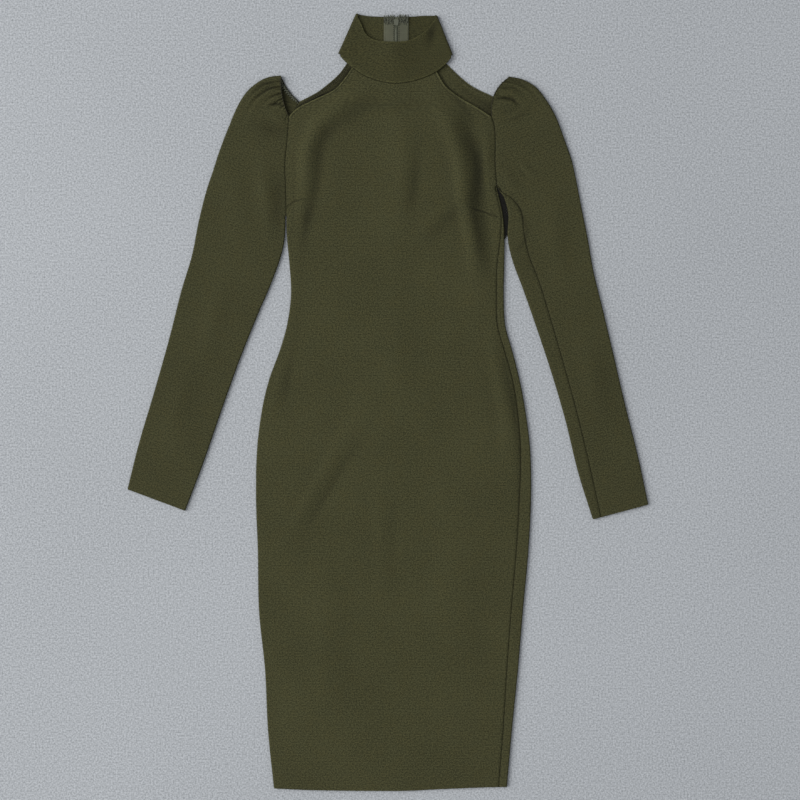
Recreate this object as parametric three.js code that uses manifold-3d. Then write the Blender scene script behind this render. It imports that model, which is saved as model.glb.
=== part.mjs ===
// A long-sleeved bodycon dress laid flat, front side up, in millimetres.
// +Y runs from the hem to the neck, +X to the right as seen from above, and the dress lies on z = 0.
// The tables share one frame, and the whole dress is then moved so that the origin is below its middle.
import * as THREE from "three";
import { mergeVertices } from "three/addons/utils/BufferGeometryUtils.js";
import Module from "manifold-3d";

const wasm = await Module();
wasm.setup();

const { clamp, lerp, smoothstep } = THREE.MathUtils;

// Cloth
const CLOTH = 1.5;
const COLLAR_CLOTH = 2.2;
const TAPE_CLOTH = 1;
const LAYER_GAP = 1.2;
const SEAM_GAP = 0.3;
const NECK_GAP = 0.5;
const BODY_HEIGHT = 2 * CLOTH + LAYER_GAP;
const COLLAR_HEIGHT = 2 * COLLAR_CLOTH + LAYER_GAP;
const LEAST_WRAP = 0.6;

// Body outline seen from above: the two side folds, and how far in from them the side seams lie
const BODY = [
  { y: -547, left: -161, right: 169.5, seam: 11.8 },
  { y: -465, left: -169.4, right: 176.5, seam: 12.5 },
  { y: -380, left: -173.6, right: 185, seam: 15.6 },
  { y: -295, left: -182.2, right: 192.1, seam: 16.5 },
  { y: -210, left: -183.8, right: 199.9, seam: 17 },
  { y: -139, left: -186.4, right: 203.4, seam: 16.2 },
  { y: -68, left: -185, right: 202.4, seam: 13.5 },
  { y: -11, left: -177.9, right: 195.3, seam: 11 },
  { y: 31, left: -168, right: 187.4, seam: 9.8 },
  { y: 74, left: -152.4, right: 176.5, seam: 10.8 },
  { y: 109, left: -142.5, right: 167, seam: 11 },
  { y: 152, left: -136.8, right: 164.9, seam: 10.2 },
  { y: 194, left: -138.9, right: 165.6, seam: 10 },
  { y: 230, left: -142.3, right: 166, seam: 6 },
  { y: 264, left: -143.5, right: 163.7, seam: 2.6 },
  { y: 303.4, left: -144, right: 155.2, seam: 2.6 },
];
// How far the hem lies above (or, where negative, below) the lowest row
const HEM = [
  { x: -161, rise: -0.2 },
  { x: -108, rise: -2.5 },
  { x: -30, rise: -3.6 },
  { x: 25, rise: -3.5 },
  { x: 75, rise: -1.2 },
  { x: 130, rise: 1.1 },
  { x: 169.5, rise: 2 },
];
const HEM_FADE = 110;
const LEFT_ARMPIT = 264;
const RIGHT_ARMPIT = 303.4;
const ARMPIT_EASE = 8;

// Armhole seams: the front one on top and the back one below it
const ARMHOLES = {
  frontLeft: [
    { y: 264, x: -143.5 },
    { y: 300, x: -144 },
    { y: 336, x: -145.2 },
    { y: 371, x: -142 },
    { y: 404, x: -139.8 },
  ],
  backLeft: [
    { y: 264, x: -143.5 },
    { y: 300, x: -143.6 },
    { y: 336, x: -143.6 },
    { y: 371, x: -142 },
    { y: 397, x: -138.9 },
    { y: 425.4, x: -125.2 },
  ],
  frontRight: [
    { y: 303.4, x: 155.2 },
    { y: 336, x: 152.6 },
    { y: 367, x: 152.8 },
    { y: 390, x: 151.6 },
    { y: 404, x: 147.5 },
  ],
  backRight: [
    { y: 303.4, x: 155.2 },
    { y: 336, x: 153.5 },
    { y: 367, x: 153.1 },
    { y: 391, x: 153.1 },
    { y: 407, x: 153.8 },
    { y: 430.2, x: 155.2 },
  ],
};
const ARMHOLE_TOP = 404;

// Free edges of the shoulder cut-outs, from the armhole to the collar
const CUTOUTS = {
  frontLeft: [
    { x: -139.8, y: 404 },
    { x: -129.7, y: 414.6 },
    { x: -104.2, y: 428.1 },
    { x: -74.7, y: 442.6 },
    { x: -58.8, y: 460.7 },
    { x: -50.3, y: 473.6 },
  ],
  frontRight: [
    { x: 147.5, y: 404 },
    { x: 126.2, y: 417.9 },
    { x: 104.5, y: 430.5 },
    { x: 82.9, y: 447.2 },
    { x: 70.2, y: 467.9 },
  ],
  backLeft: [
    { x: -125.2, y: 425.4 },
    { x: -99.1, y: 439.3 },
    { x: -84.2, y: 450.6 },
    { x: -68.8, y: 464.6 },
    { x: -59.2, y: 477.4 },
    { x: -50.5, y: 488.3 },
  ],
  backRight: [
    { x: 155.2, y: 430.2 },
    { x: 148, y: 433.6 },
    { x: 120.8, y: 446.8 },
    { x: 101.6, y: 461.8 },
    { x: 86.2, y: 476.9 },
    { x: 75, y: 487.6 },
  ],
};

// The middle of the outline's box, from the two cuffs' outer corners and from the hem to the collar's corner
const MIDDLE_X = 0.6;
const MIDDLE_Y = -0.53;

// Collar: its two folds lean inwards, and its edges run from the left fold to the right one
const COLLAR_FOLD = {
  left: { low: { x: -70.2, y: 492.9 }, high: { x: -44.7, y: 549.7 } },
  right: { low: { x: 92.8, y: 491.2 }, high: { x: 70.5, y: 547.2 } },
};
const FRONT_NECKLINE = [
  { x: -70.2, y: 492.9 },
  { x: -58, y: 479.8 },
  { x: -50.3, y: 473.6 },
  { x: -35, y: 463 },
  { x: -14, y: 454.6 },
  { x: 10, y: 450.5 },
  { x: 33, y: 453.3 },
  { x: 53.6, y: 459.5 },
  { x: 70.2, y: 467.9 },
  { x: 84.8, y: 480.2 },
  { x: 92.8, y: 491.2 },
];
const FRONT_COLLAR_TOP = [
  { x: -44.7, y: 549.7 },
  { x: -37.6, y: 536 },
  { x: -30.6, y: 521.1 },
  { x: -19.7, y: 512.9 },
  { x: -7.8, y: 510.2 },
  { x: 26, y: 510.3 },
  { x: 40, y: 515.6 },
  { x: 53.6, y: 525 },
  { x: 66, y: 540 },
  { x: 70.5, y: 547.2 },
];
const BACK_NECKLINE = [
  { x: -70.2, y: 492.9 },
  { x: -50.5, y: 488.3 },
  { x: 12.3, y: 484 },
  { x: 75, y: 487.6 },
  { x: 92.8, y: 491.2 },
];
const BACK_COLLAR_TOP = [
  { x: -44.7, y: 549.7 },
  { x: -27.6, y: 546.7 },
  { x: -8, y: 545.4 },
  { x: 32, y: 545.4 },
  { x: 50, y: 547 },
  { x: 70.5, y: 547.2 },
];

// Sleeves, a row for each section from the cuff (0) to the gathered free edge of the cap.
// inner is the underarm fold, and above the armpit only its front and back heights on the armhole.
// seam is how far the underarm seam lies from the fold.
const LEFT_SLEEVE = [
  { along: 0, outerX: -368.3, outerY: -123.6, innerX: -286.3, front: -154.2, back: -154.2, seam: 12 },
  { along: 72, outerX: -351.5, outerY: -56.7, innerX: -260.1, front: -85, back: -85, seam: 18 },
  { along: 149, outerX: -329.6, outerY: 17, innerX: -234.6, front: -11.3, back: -11.3, seam: 18.6 },
  { along: 225, outerX: -308.9, outerY: 90.7, innerX: -209.1, front: 59.5, back: 59.5, seam: 20 },
  { along: 294, outerX: -292, outerY: 157.3, innerX: -183.6, front: 123.3, back: 123.3, seam: 22 },
  { along: 346, outerX: -277.1, outerY: 207, innerX: -163, front: 171.5, back: 171.5, seam: 24 },
  { along: 397, outerX: -267.2, outerY: 256.6, innerX: -147.2, front: 219.7, back: 219.7, seam: 20 },
  { along: 440, outerX: -256.9, outerY: 297.7, innerX: -144, front: 264, back: 264, seam: 2.6 },
  { along: 475, outerX: -246.6, outerY: 328.9, innerX: -144, front: 300.5, back: 300.5, seam: 2.6 },
  { along: 507, outerX: -237.4, outerY: 357.2, innerX: -144, front: 336, back: 336, seam: 2.6 },
  { along: 542, outerX: -224.7, outerY: 389.8, innerX: -144, front: 371, back: 369, seam: 2.6 },
  { along: 568, outerX: -211.9, outerY: 419.6, innerX: -144, front: 389.8, back: 396, seam: 2.6 },
  { along: 586, outerX: -198.5, outerY: 440.1, innerX: -144, front: 395.8, back: 406.5, seam: 2.6 },
  { along: 602, outerX: -180.7, outerY: 454.7, innerX: -144, front: 399.2, back: 413.9, seam: 2.6 },
  { along: 612, outerX: -166.6, outerY: 460.4, innerX: -144, front: 401.7, back: 419.6, seam: 2.6 },
  { along: 623, outerX: -151, outerY: 462.1, innerX: -144, front: 404, back: 425.4, seam: 2.6 },
];
const RIGHT_SLEEVE = [
  { along: 0, outerX: 369.5, outerY: -145.3, innerX: 290.7, front: -166.3, back: -166.3, seam: 12 },
  { along: 70, outerX: 355.1, outerY: -78, innerX: 270, front: -100.6, back: -100.6, seam: 18 },
  { along: 147, outerX: 336.4, outerY: -2.8, innerX: 251.6, front: -25.5, back: -25.5, seam: 18.7 },
  { along: 216, outerX: 320.6, outerY: 65.2, innerX: 232.5, front: 39.7, back: 39.7, seam: 20 },
  { along: 282, outerX: 305.5, outerY: 129, innerX: 211.9, front: 102.1, back: 102.1, seam: 22.5 },
  { along: 341, outerX: 291.7, outerY: 185.7, innerX: 192.1, front: 158.8, back: 158.8, seam: 25 },
  { along: 387, outerX: 283.6, outerY: 232.5, innerX: 176.5, front: 201.3, back: 201.3, seam: 24.5 },
  { along: 421, outerX: 276.1, outerY: 269.3, innerX: 170, front: 232.5, back: 232.5, seam: 24.5 },
  { along: 453, outerX: 270, outerY: 300.5, innerX: 170.8, front: 265.1, back: 265.1, seam: 19 },
  { along: 474, outerX: 265.8, outerY: 321.8, innerX: 165, front: 289.2, back: 289.2, seam: 8 },
  { along: 492, outerX: 260.8, outerY: 343, innerX: 155.7, front: 303.4, back: 303.4, seam: 2.6 },
  { along: 521, outerX: 250.9, outerY: 371.4, innerX: 155.7, front: 336, back: 336, seam: 2.6 },
  { along: 553, outerX: 238.8, outerY: 403.3, innerX: 155.7, front: 367, back: 367, seam: 2.6 },
  { along: 578, outerX: 225.4, outerY: 426.7, innerX: 155.7, front: 388.4, back: 391, seam: 2.6 },
  { along: 598, outerX: 209.8, outerY: 446.1, innerX: 155.7, front: 396.2, back: 407, seam: 2.6 },
  { along: 613, outerX: 192.1, outerY: 456.4, innerX: 155.7, front: 400.4, back: 419.6, seam: 2.6 },
  { along: 630, outerX: 171.5, outerY: 461, innerX: 155.7, front: 404, back: 430.2, seam: 2.6 },
];

// What differs between the two sleeves. wrappingLayer is 1 where the layer on top wraps over the inner fold
// and -1 where the layer below does. The bows bend a section's line on each layer, at the free edge.
const SLEEVES = {
  left: {
    table: LEFT_SLEEVE,
    armpit: LEFT_ARMPIT,
    side: -1,
    wrappingLayer: 1,
    frontArmhole: ARMHOLES.frontLeft,
    backArmhole: ARMHOLES.backLeft,
    frontBow: 3,
    backBow: 3,
    folds: 7,
  },
  right: {
    table: RIGHT_SLEEVE,
    armpit: RIGHT_ARMPIT,
    side: 1,
    wrappingLayer: -1,
    frontArmhole: ARMHOLES.frontRight,
    backArmhole: ARMHOLES.backRight,
    frontBow: -9,
    backBow: 3,
    folds: 6,
  },
};
const CAP_START = 500;
const CAP_SEAM_STATION = 555;
const CAP_RISE = 1.3;
const GATHER_DEPTH = 3;
const BACK_GATHER_DEPTH = 0.7;

// Soft folds of the front, each a ridge or a trough along a line of points
const FRONT_FOLDS = [
  [
    { x: 62, y: 440, width: 16, height: 0.3 },
    { x: 88, y: 395, width: 17, height: 2.6 },
    { x: 103, y: 345, width: 15, height: 3.8 },
    { x: 109, y: 285, width: 14, height: 3.4 },
    { x: 119, y: 228, width: 13, height: 2.4 },
    { x: 127, y: 165, width: 12, height: 0.3 },
  ],
  [
    { x: 92, y: 440, width: 9, height: -0.2 },
    { x: 117, y: 385, width: 10, height: -0.6 },
    { x: 130, y: 340, width: 9, height: -0.7 },
    { x: 135, y: 280, width: 9, height: -0.7 },
    { x: 143, y: 220, width: 9, height: -0.5 },
    { x: 147, y: 170, width: 9, height: 0 },
  ],
  [
    { x: 144, y: 390, width: 9, height: 0.4 },
    { x: 146, y: 350, width: 9, height: 1.6 },
    { x: 147, y: 300, width: 9, height: 0.4 },
  ],
  [
    { x: -17, y: 445, width: 15, height: 0.3 },
    { x: -53, y: 428, width: 16, height: 1.6 },
    { x: -98, y: 392, width: 15, height: 2.6 },
    { x: -113, y: 357, width: 14, height: 2.4 },
    { x: -116, y: 300, width: 13, height: 1.8 },
    { x: -124, y: 250, width: 12, height: 0.2 },
  ],
  [
    { x: -10, y: 428, width: 10, height: -0.2 },
    { x: -67, y: 400, width: 10, height: -0.6 },
    { x: -93, y: 371, width: 10, height: -0.7 },
    { x: -101, y: 308, width: 10, height: -0.6 },
    { x: -110, y: 250, width: 10, height: 0 },
  ],
  [
    { x: 25, y: 390, width: 12, height: 0.1 },
    { x: 23, y: 330, width: 12, height: 1 },
    { x: 20, y: 262, width: 12, height: 0.1 },
  ],
  [
    { x: 103, y: 288, width: 11, height: 0.2 },
    { x: 70, y: 262, width: 11, height: 1 },
    { x: 36, y: 235, width: 12, height: 0.1 },
  ],
  [
    { x: -148, y: 75, width: 9, height: 0.1 },
    { x: -155, y: 30, width: 9, height: 1.2 },
    { x: -163, y: -20, width: 9, height: 0.1 },
  ],
  [
    { x: -6, y: 48, width: 18, height: 0.1 },
    { x: -40, y: -20, width: 18, height: 1.3 },
    { x: -74, y: -82, width: 17, height: 2 },
    { x: -124, y: -160, width: 16, height: 1.6 },
    { x: -150, y: -205, width: 14, height: 0.1 },
  ],
  [
    { x: -11, y: -100, width: 13, height: 0.1 },
    { x: -10, y: -190, width: 13, height: 1.2 },
    { x: -8, y: -290, width: 15, height: 0.1 },
  ],
  [
    { x: -90, y: -190, width: 24, height: 0.1 },
    { x: -87, y: -310, width: 26, height: 1.9 },
    { x: -84, y: -440, width: 24, height: 0.3 },
  ],
  [
    { x: 100, y: -120, width: 30, height: 0.1 },
    { x: 97, y: -270, width: 32, height: 1 },
    { x: 95, y: -420, width: 30, height: 0.1 },
  ],
  [
    { x: 148, y: 105, width: 12, height: 0.2 },
    { x: 158, y: 50, width: 12, height: 2 },
    { x: 170, y: -20, width: 12, height: 2 },
    { x: 175, y: -95, width: 12, height: 0.3 },
  ],
];
const MOST_RELIEF = 4.2;
const EDGE_FADE = 16;

// Zip at the centre back
const ZIP_X = 12.3;
const ZIP_TOP = 545;
const ZIP_BOTTOM = 45;
const ZIP_RIDGE = 1;
const ZIP_RIDGE_WIDTH = 22;
const ZIP_LIFT = 2.8;
const ZIP_LIFT_WIDTH = 27;
const TAPE_HALF_WIDTH = 17.5;
const TAPE_END = ZIP_BOTTOM - 8;
const COIL_HALF_WIDTH = 2.1;
const COIL_THICKNESS = 2;
const COIL_SLOT = COIL_HALF_WIDTH + 0.4;
const SLIDER_Y = 536.5;
const SLIDER_LENGTH = 8.5;
const SLIDER_HALF_WIDTH = 3.6;
const SLIDER_PLATE = 0.9;
const SLIDER_MOUTH = 2.6;
const COLLAR_SLOT = SLIDER_HALF_WIDTH + 0.8;
const HINGE_DROP = 2;
const HINGE_Y = SLIDER_Y - 0.4;
const BAIL_WIDTH = 1.2;
const BAIL_THICKNESS = 0.55;
const BAIL_POST = 1;
const BAIL_SPAN = 2.4;
const BAIL_DROP = 0.85;
const PULL_LENGTH = 16;
const PULL_HALF_WIDTH = 2.4;
const PULL_THICKNESS = 0.9;
const PULL_EYE_HALF_WIDTH = 1.8;
const PULL_ARM = 0.8;
const PULL_WINDOW = 3.7;
const PULL_SHOULDER = 4.2;
const PULL_NECK = 5.5;

// Cells of the meshes
const SKIRT_STEP = 58.7;
const WAIST_STEP = 30;
const CHEST_STEP = 16.2;
const ARMPIT_STEPS = [-1.9, -1, -0.7, -0.35, 0, 0.5];
const WRAP_CELLS = 1;
const FOLD_CELLS = 4;
const FRONT_CELLS = 18;
const BACK_CELLS = 7;
const CUTOUT_ROWS = 6;
const SLEEVE_TOP_CELLS = 21;
const SLEEVE_BACK_CELLS = 8;
const COLLAR_ROWS = 4;
const COLLAR_FRONT_CELLS = 20;
const COLLAR_BACK_CELLS = 5;

// Colours
const OLIVE = 0x48462f;
const OLIVE_DARK = 0x43422d;
const SAGE = 0x5f6350;
const ZIP_METAL = 0x9a9d8c;

// The value of a column at a place along a table's rows, on smooth curves through the rows.
function columnAt(rows, along, column, place) {
  const last = rows.length - 1;
  const at = clamp(place, rows[0][along], rows[last][along]);
  let i = 0;
  while (i < last - 1 && at > rows[i + 1][along]) i += 1;
  const slope = (k) => {
    const before = rows[Math.max(k - 1, 0)];
    const after = rows[Math.min(k + 1, last)];
    return (after[column] - before[column]) / (after[along] - before[along]);
  };
  const start = rows[i];
  const end = rows[i + 1];
  const span = end[along] - start[along];
  const t = (at - start[along]) / span;
  const rise = t * t * (3 - 2 * t);
  return (
    lerp(start[column], end[column], rise) +
    span * (t * (1 - t) * (1 - t) * slope(i) - t * t * (1 - t) * slope(i + 1))
  );
}

// A curve through points in the plane, as a function of the share of its length.
function outline(points) {
  const curve = new THREE.CatmullRomCurve3(
    points.map((p) => new THREE.Vector3(p.x, p.y, 0)),
    false,
    "centripetal",
  );
  curve.arcLengthDivisions = 400;
  return (share) => curve.getPointAt(clamp(share, 0, 1));
}

// A patch between four curves, each a function of a share from 0 to 1.
function patch(bottom, top, left, right) {
  return (u, v) => {
    const blend = (axis) =>
      (1 - v) * bottom(u)[axis] +
      v * top(u)[axis] +
      (1 - u) * left(v)[axis] +
      u * right(v)[axis] -
      (1 - u) * ((1 - v) * bottom(0)[axis] + v * top(0)[axis]) -
      u * ((1 - v) * bottom(1)[axis] + v * top(1)[axis]);
    return { x: blend("x"), y: blend("y") };
  };
}

function bell(distance, width) {
  return Math.exp(-((distance / width) ** 2));
}

// The collar's back stands a little off the surface, over the zip's slider and pull tab.
function zipLift(x, y) {
  return ZIP_LIFT * bell(x - ZIP_X, ZIP_LIFT_WIDTH) * smoothstep(y, 440, 500);
}

// How much the layer on top rises over the zip inside the dress.
function zipRidge(x, y) {
  const ends = smoothstep(y, TAPE_END - 30, TAPE_END);
  return ZIP_RIDGE * bell(x - ZIP_X, ZIP_RIDGE_WIDTH) * ends;
}

function bodyEdges(y) {
  if (y <= LEFT_ARMPIT) {
    return {
      left: columnAt(BODY, "y", "left", y),
      right: columnAt(BODY, "y", "right", y),
    };
  }
  const left = columnAt(ARMHOLES.frontLeft, "y", "x", y);
  if (y <= RIGHT_ARMPIT) return { left, right: columnAt(BODY, "y", "right", y) };
  return { left, right: columnAt(ARMHOLES.frontRight, "y", "x", y) };
}

// The height of one fold at a place, from the nearest point of its line.
function foldHeight(x, y, line) {
  let nearest = Infinity;
  let height = 0;
  for (let k = 0; k < line.length - 1; k += 1) {
    const start = line[k];
    const end = line[k + 1];
    const dx = end.x - start.x;
    const dy = end.y - start.y;
    const t = clamp(((x - start.x) * dx + (y - start.y) * dy) / (dx * dx + dy * dy), 0, 1);
    const distance = Math.hypot(x - start.x - t * dx, y - start.y - t * dy);
    if (distance < nearest) {
      nearest = distance;
      height = lerp(start.height, end.height, t) * bell(distance, lerp(start.width, end.width, t));
    }
  }
  return height;
}

// The soft relief of the dress's front, zero at its side folds and armholes.
function frontRelief(x, y) {
  const { left, right } = bodyEdges(y);
  const fromEdge = y > ARMHOLE_TOP ? EDGE_FADE : Math.min(x - left, right - x);
  let folds = 0;
  for (const line of FRONT_FOLDS) folds += foldHeight(x, y, line);
  const soft = clamp(folds, 0.5 - LAYER_GAP, MOST_RELIEF) * smoothstep(fromEdge, 0, EDGE_FADE);
  return soft + zipRidge(x, y);
}

// A point of a wall's middle with the direction of its outer face.
function wallPoint(x, y, z, nx, ny, nz) {
  return { x, y, z, nx, ny, nz };
}

// Cloth from a sewn edge, over a flat wrap and a fold, to the start of its flat layer.
// layer is 1 where that layer is the one on top and -1 where it lies below.
// A turn of half a circle is a whole fold, and no turn leaves the strip flat.
function foldStrip({ edge, inward, layer, turn, wrap, height, cloth }) {
  const arc = Math.PI * (height / 2 - cloth / 2);
  const bend = Math.max(turn, 0.001);
  const radius = arc / bend;
  const whole = turn >= Math.PI / 2;
  const reach = whole ? radius : radius * Math.sin(bend) + wrap * Math.cos(bend);
  const flatStart = reach + (whole ? cloth / 2 : (cloth / 2) * Math.sin(bend));
  const flatZ = layer > 0 ? height - cloth / 2 : cloth / 2;
  const mostRise = radius * (1 - Math.cos(bend)) + wrap * Math.sin(bend);
  const press = Math.min(1, (height - cloth) / mostRise);
  const at = (out, rise, angle) =>
    wallPoint(
      edge.x + inward.x * (flatStart - out),
      edge.y + inward.y * (flatStart - out),
      flatZ - layer * press * rise,
      -inward.x * Math.sin(angle),
      -inward.y * Math.sin(angle),
      layer * Math.cos(angle),
    );
  const points = [];
  for (let k = 0; k < WRAP_CELLS; k += 1) {
    const rest = wrap * (1 - k / WRAP_CELLS);
    const out = radius * Math.sin(bend) + rest * Math.cos(bend);
    const rise = radius * (1 - Math.cos(bend)) + rest * Math.sin(bend);
    points.push(at(out, rise, bend));
  }
  for (let k = 0; k <= FOLD_CELLS; k += 1) {
    const angle = bend * (1 - k / FOLD_CELLS);
    points.push(at(radius * Math.sin(angle), radius * (1 - Math.cos(angle)), angle));
  }
  return points;
}

// How far the cloth near the hem is drawn up or down.
function hemRise(x, y) {
  const near = 1 - smoothstep(y, BODY[0].y, BODY[0].y + HEM_FADE);
  return columnAt(HEM, "x", "rise", x) * near;
}

// Raises every point over the zip, raises the top layer's points by their relief, and bows the hem.
function settle(points, relief) {
  for (const p of points) {
    p.z += zipLift(p.x, p.y) + Math.max(p.nz, 0) * relief(p.x, p.y);
    p.y += hemRise(p.x, p.y);
  }
  return points;
}

// A closed wall of even thickness over a grid of points of its middle.
function wallGeometry(grid, cloth) {
  const rows = grid.length;
  const columns = grid[0].length;
  const positions = [];
  for (const side of [cloth / 2, -cloth / 2]) {
    for (const row of grid) {
      for (const p of row) positions.push(p.x + side * p.nx, p.y + side * p.ny, p.z + side * p.nz);
    }
  }
  const outer = (i, j) => i * columns + j;
  const inner = (i, j) => rows * columns + i * columns + j;
  const faces = [];
  const quad = (a, b, c, d) => faces.push(a, b, c, a, c, d);
  for (let i = 0; i < rows - 1; i += 1) {
    for (let j = 0; j < columns - 1; j += 1) {
      quad(outer(i, j), outer(i, j + 1), outer(i + 1, j + 1), outer(i + 1, j));
      quad(inner(i, j), inner(i + 1, j), inner(i + 1, j + 1), inner(i, j + 1));
    }
  }
  const end = rows - 1;
  for (let j = 0; j < columns - 1; j += 1) {
    quad(outer(0, j + 1), outer(0, j), inner(0, j), inner(0, j + 1));
    quad(outer(end, j), outer(end, j + 1), inner(end, j + 1), inner(end, j));
  }
  const side = columns - 1;
  for (let i = 0; i < end; i += 1) {
    quad(outer(i, 0), outer(i + 1, 0), inner(i + 1, 0), inner(i, 0));
    quad(outer(i + 1, side), outer(i, side), inner(i, side), inner(i + 1, side));
  }
  const geometry = new THREE.BufferGeometry();
  geometry.setAttribute("position", new THREE.Float32BufferAttribute(positions, 3));
  geometry.setIndex(facingOut(positions, faces));
  geometry.computeVertexNormals();
  return geometry;
}

// The faces as given, or all turned round where they enclose a negative volume.
function facingOut(positions, faces) {
  const corner = (k) => new THREE.Vector3().fromArray(positions, 3 * k);
  let volume = 0;
  for (let k = 0; k < faces.length; k += 3) {
    const a = corner(faces[k]);
    volume += a.dot(corner(faces[k + 1]).cross(corner(faces[k + 2])));
  }
  if (volume > 0) return faces;
  const turned = [];
  for (let k = 0; k < faces.length; k += 3) turned.push(faces[k], faces[k + 2], faces[k + 1]);
  return turned;
}

// Heights of a body panel's rows: wide steps on the skirt, and close ones where a fold opens out.
function bodyRows() {
  const heights = [];
  for (let y = BODY[0].y; y < 40; y += SKIRT_STEP) heights.push(y);
  for (let y = 40; y < LEFT_ARMPIT - 20; y += WAIST_STEP) heights.push(y);
  for (const armpit of [LEFT_ARMPIT, RIGHT_ARMPIT]) {
    for (const step of ARMPIT_STEPS) heights.push(armpit + step * ARMPIT_EASE);
  }
  for (let y = 323; y < ARMHOLE_TOP; y += CHEST_STEP) heights.push(y);
  heights.push(ARMHOLE_TOP);
  return heights;
}

// How far a fold is turned, and how far the layer that it meets draws back, near an armpit
function armpitTurn(y, armpit) {
  return Math.PI * (1 - smoothstep(y, armpit - ARMPIT_EASE, armpit));
}

function armpitDraw(y, armpit) {
  return 1 - smoothstep(y, armpit, armpit + ARMPIT_EASE / 2);
}

// The flat length of a wrap, which runs out before its fold opens at the armpit.
function wrapLength(seam, y, armpit) {
  const open = smoothstep(armpit - y, ARMPIT_EASE, 2 * ARMPIT_EASE);
  return lerp(LEAST_WRAP, Math.max(seam - BODY_HEIGHT / 2, LEAST_WRAP), open);
}

// Where a layer that meets a wrap ends, as its distance in from the fold's edge.
function meetingEdge(wrap, y, armpit) {
  return lerp(SEAM_GAP / 2, BODY_HEIGHT / 2 + wrap + SEAM_GAP, armpitDraw(y, armpit));
}

function rowTo(start, end, cells, nz) {
  const points = [];
  for (let k = 1; k <= cells; k += 1) {
    const t = k / cells;
    points.push(wallPoint(lerp(start.x, end.x, t), lerp(start.y, end.y, t), start.z, 0, 0, nz));
  }
  return points;
}

// The front: it wraps under at its left fold, and ends at the seam on top near its right one.
function frontGrid() {
  const grid = [];
  for (const y of bodyRows()) {
    const { left, right } = bodyEdges(y);
    const seam = columnAt(BODY, "y", "seam", y);
    const strip = foldStrip({
      edge: { x: left + SEAM_GAP / 2, y },
      inward: { x: 1, y: 0 },
      layer: 1,
      turn: armpitTurn(y, LEFT_ARMPIT),
      wrap: wrapLength(seam, y, LEFT_ARMPIT),
      height: BODY_HEIGHT,
      cloth: CLOTH,
    });
    const drawn = meetingEdge(wrapLength(seam, y, RIGHT_ARMPIT), y, RIGHT_ARMPIT);
    grid.push([...strip, ...rowTo(strip.at(-1), { x: right - drawn, y }, FRONT_CELLS, 1)]);
  }
  const left = CUTOUTS.frontLeft;
  const right = CUTOUTS.frontRight;
  const neck = neckSeam(FRONT_NECKLINE, left.at(-1).x, right.at(-1).x);
  addCutoutRows(grid, outline(left), outline(right), neck, 1);
  return grid.map((row) => settle(row, frontRelief));
}

// The stretch of a neckline that a panel is sewn to, between two of its x places and just below it.
function neckSeam(points, fromX, toX) {
  const whole = outline(points);
  const shareOf = (x) => {
    let low = 0;
    let high = 1;
    for (let k = 0; k < 30; k += 1) {
      const middle = (low + high) / 2;
      if (whole(middle).x < x) low = middle;
      else high = middle;
    }
    return low;
  };
  const from = shareOf(fromX);
  const to = shareOf(toX);
  return (share) => {
    const { x, y } = whole(lerp(from, to, share));
    return { x, y: y - NECK_GAP };
  };
}

// Rows from the last straight row of a panel up to its neckline, between its cut-out edges.
function addCutoutRows(grid, left, right, neck, nz) {
  const base = grid.at(-1);
  const first = base[0];
  const last = base.at(-1);
  const shareOf = (p) => (p.x - first.x) / (last.x - first.x);
  const bottom = (u) => ({ x: lerp(first.x, last.x, u), y: first.y });
  const fromFirst = between(left, first, neck(0));
  const fromLast = between(right, last, neck(1));
  const surface = patch(bottom, neck, fromFirst, fromLast);
  for (let i = 1; i <= CUTOUT_ROWS; i += 1) {
    const row = base.map((p) => {
      const { x, y } = surface(shareOf(p), i / CUTOUT_ROWS);
      return wallPoint(x, y, last.z, 0, 0, nz);
    });
    grid.push(row);
  }
}

// An edge, moved a little so that it runs from one given corner to another.
function between(edge, from, to) {
  const start = edge(0);
  const end = edge(1);
  return (share) => {
    const { x, y } = edge(share);
    return {
      x: x + lerp(from.x - start.x, to.x - end.x, share),
      y: y + lerp(from.y - start.y, to.y - end.y, share),
    };
  };
}

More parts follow.
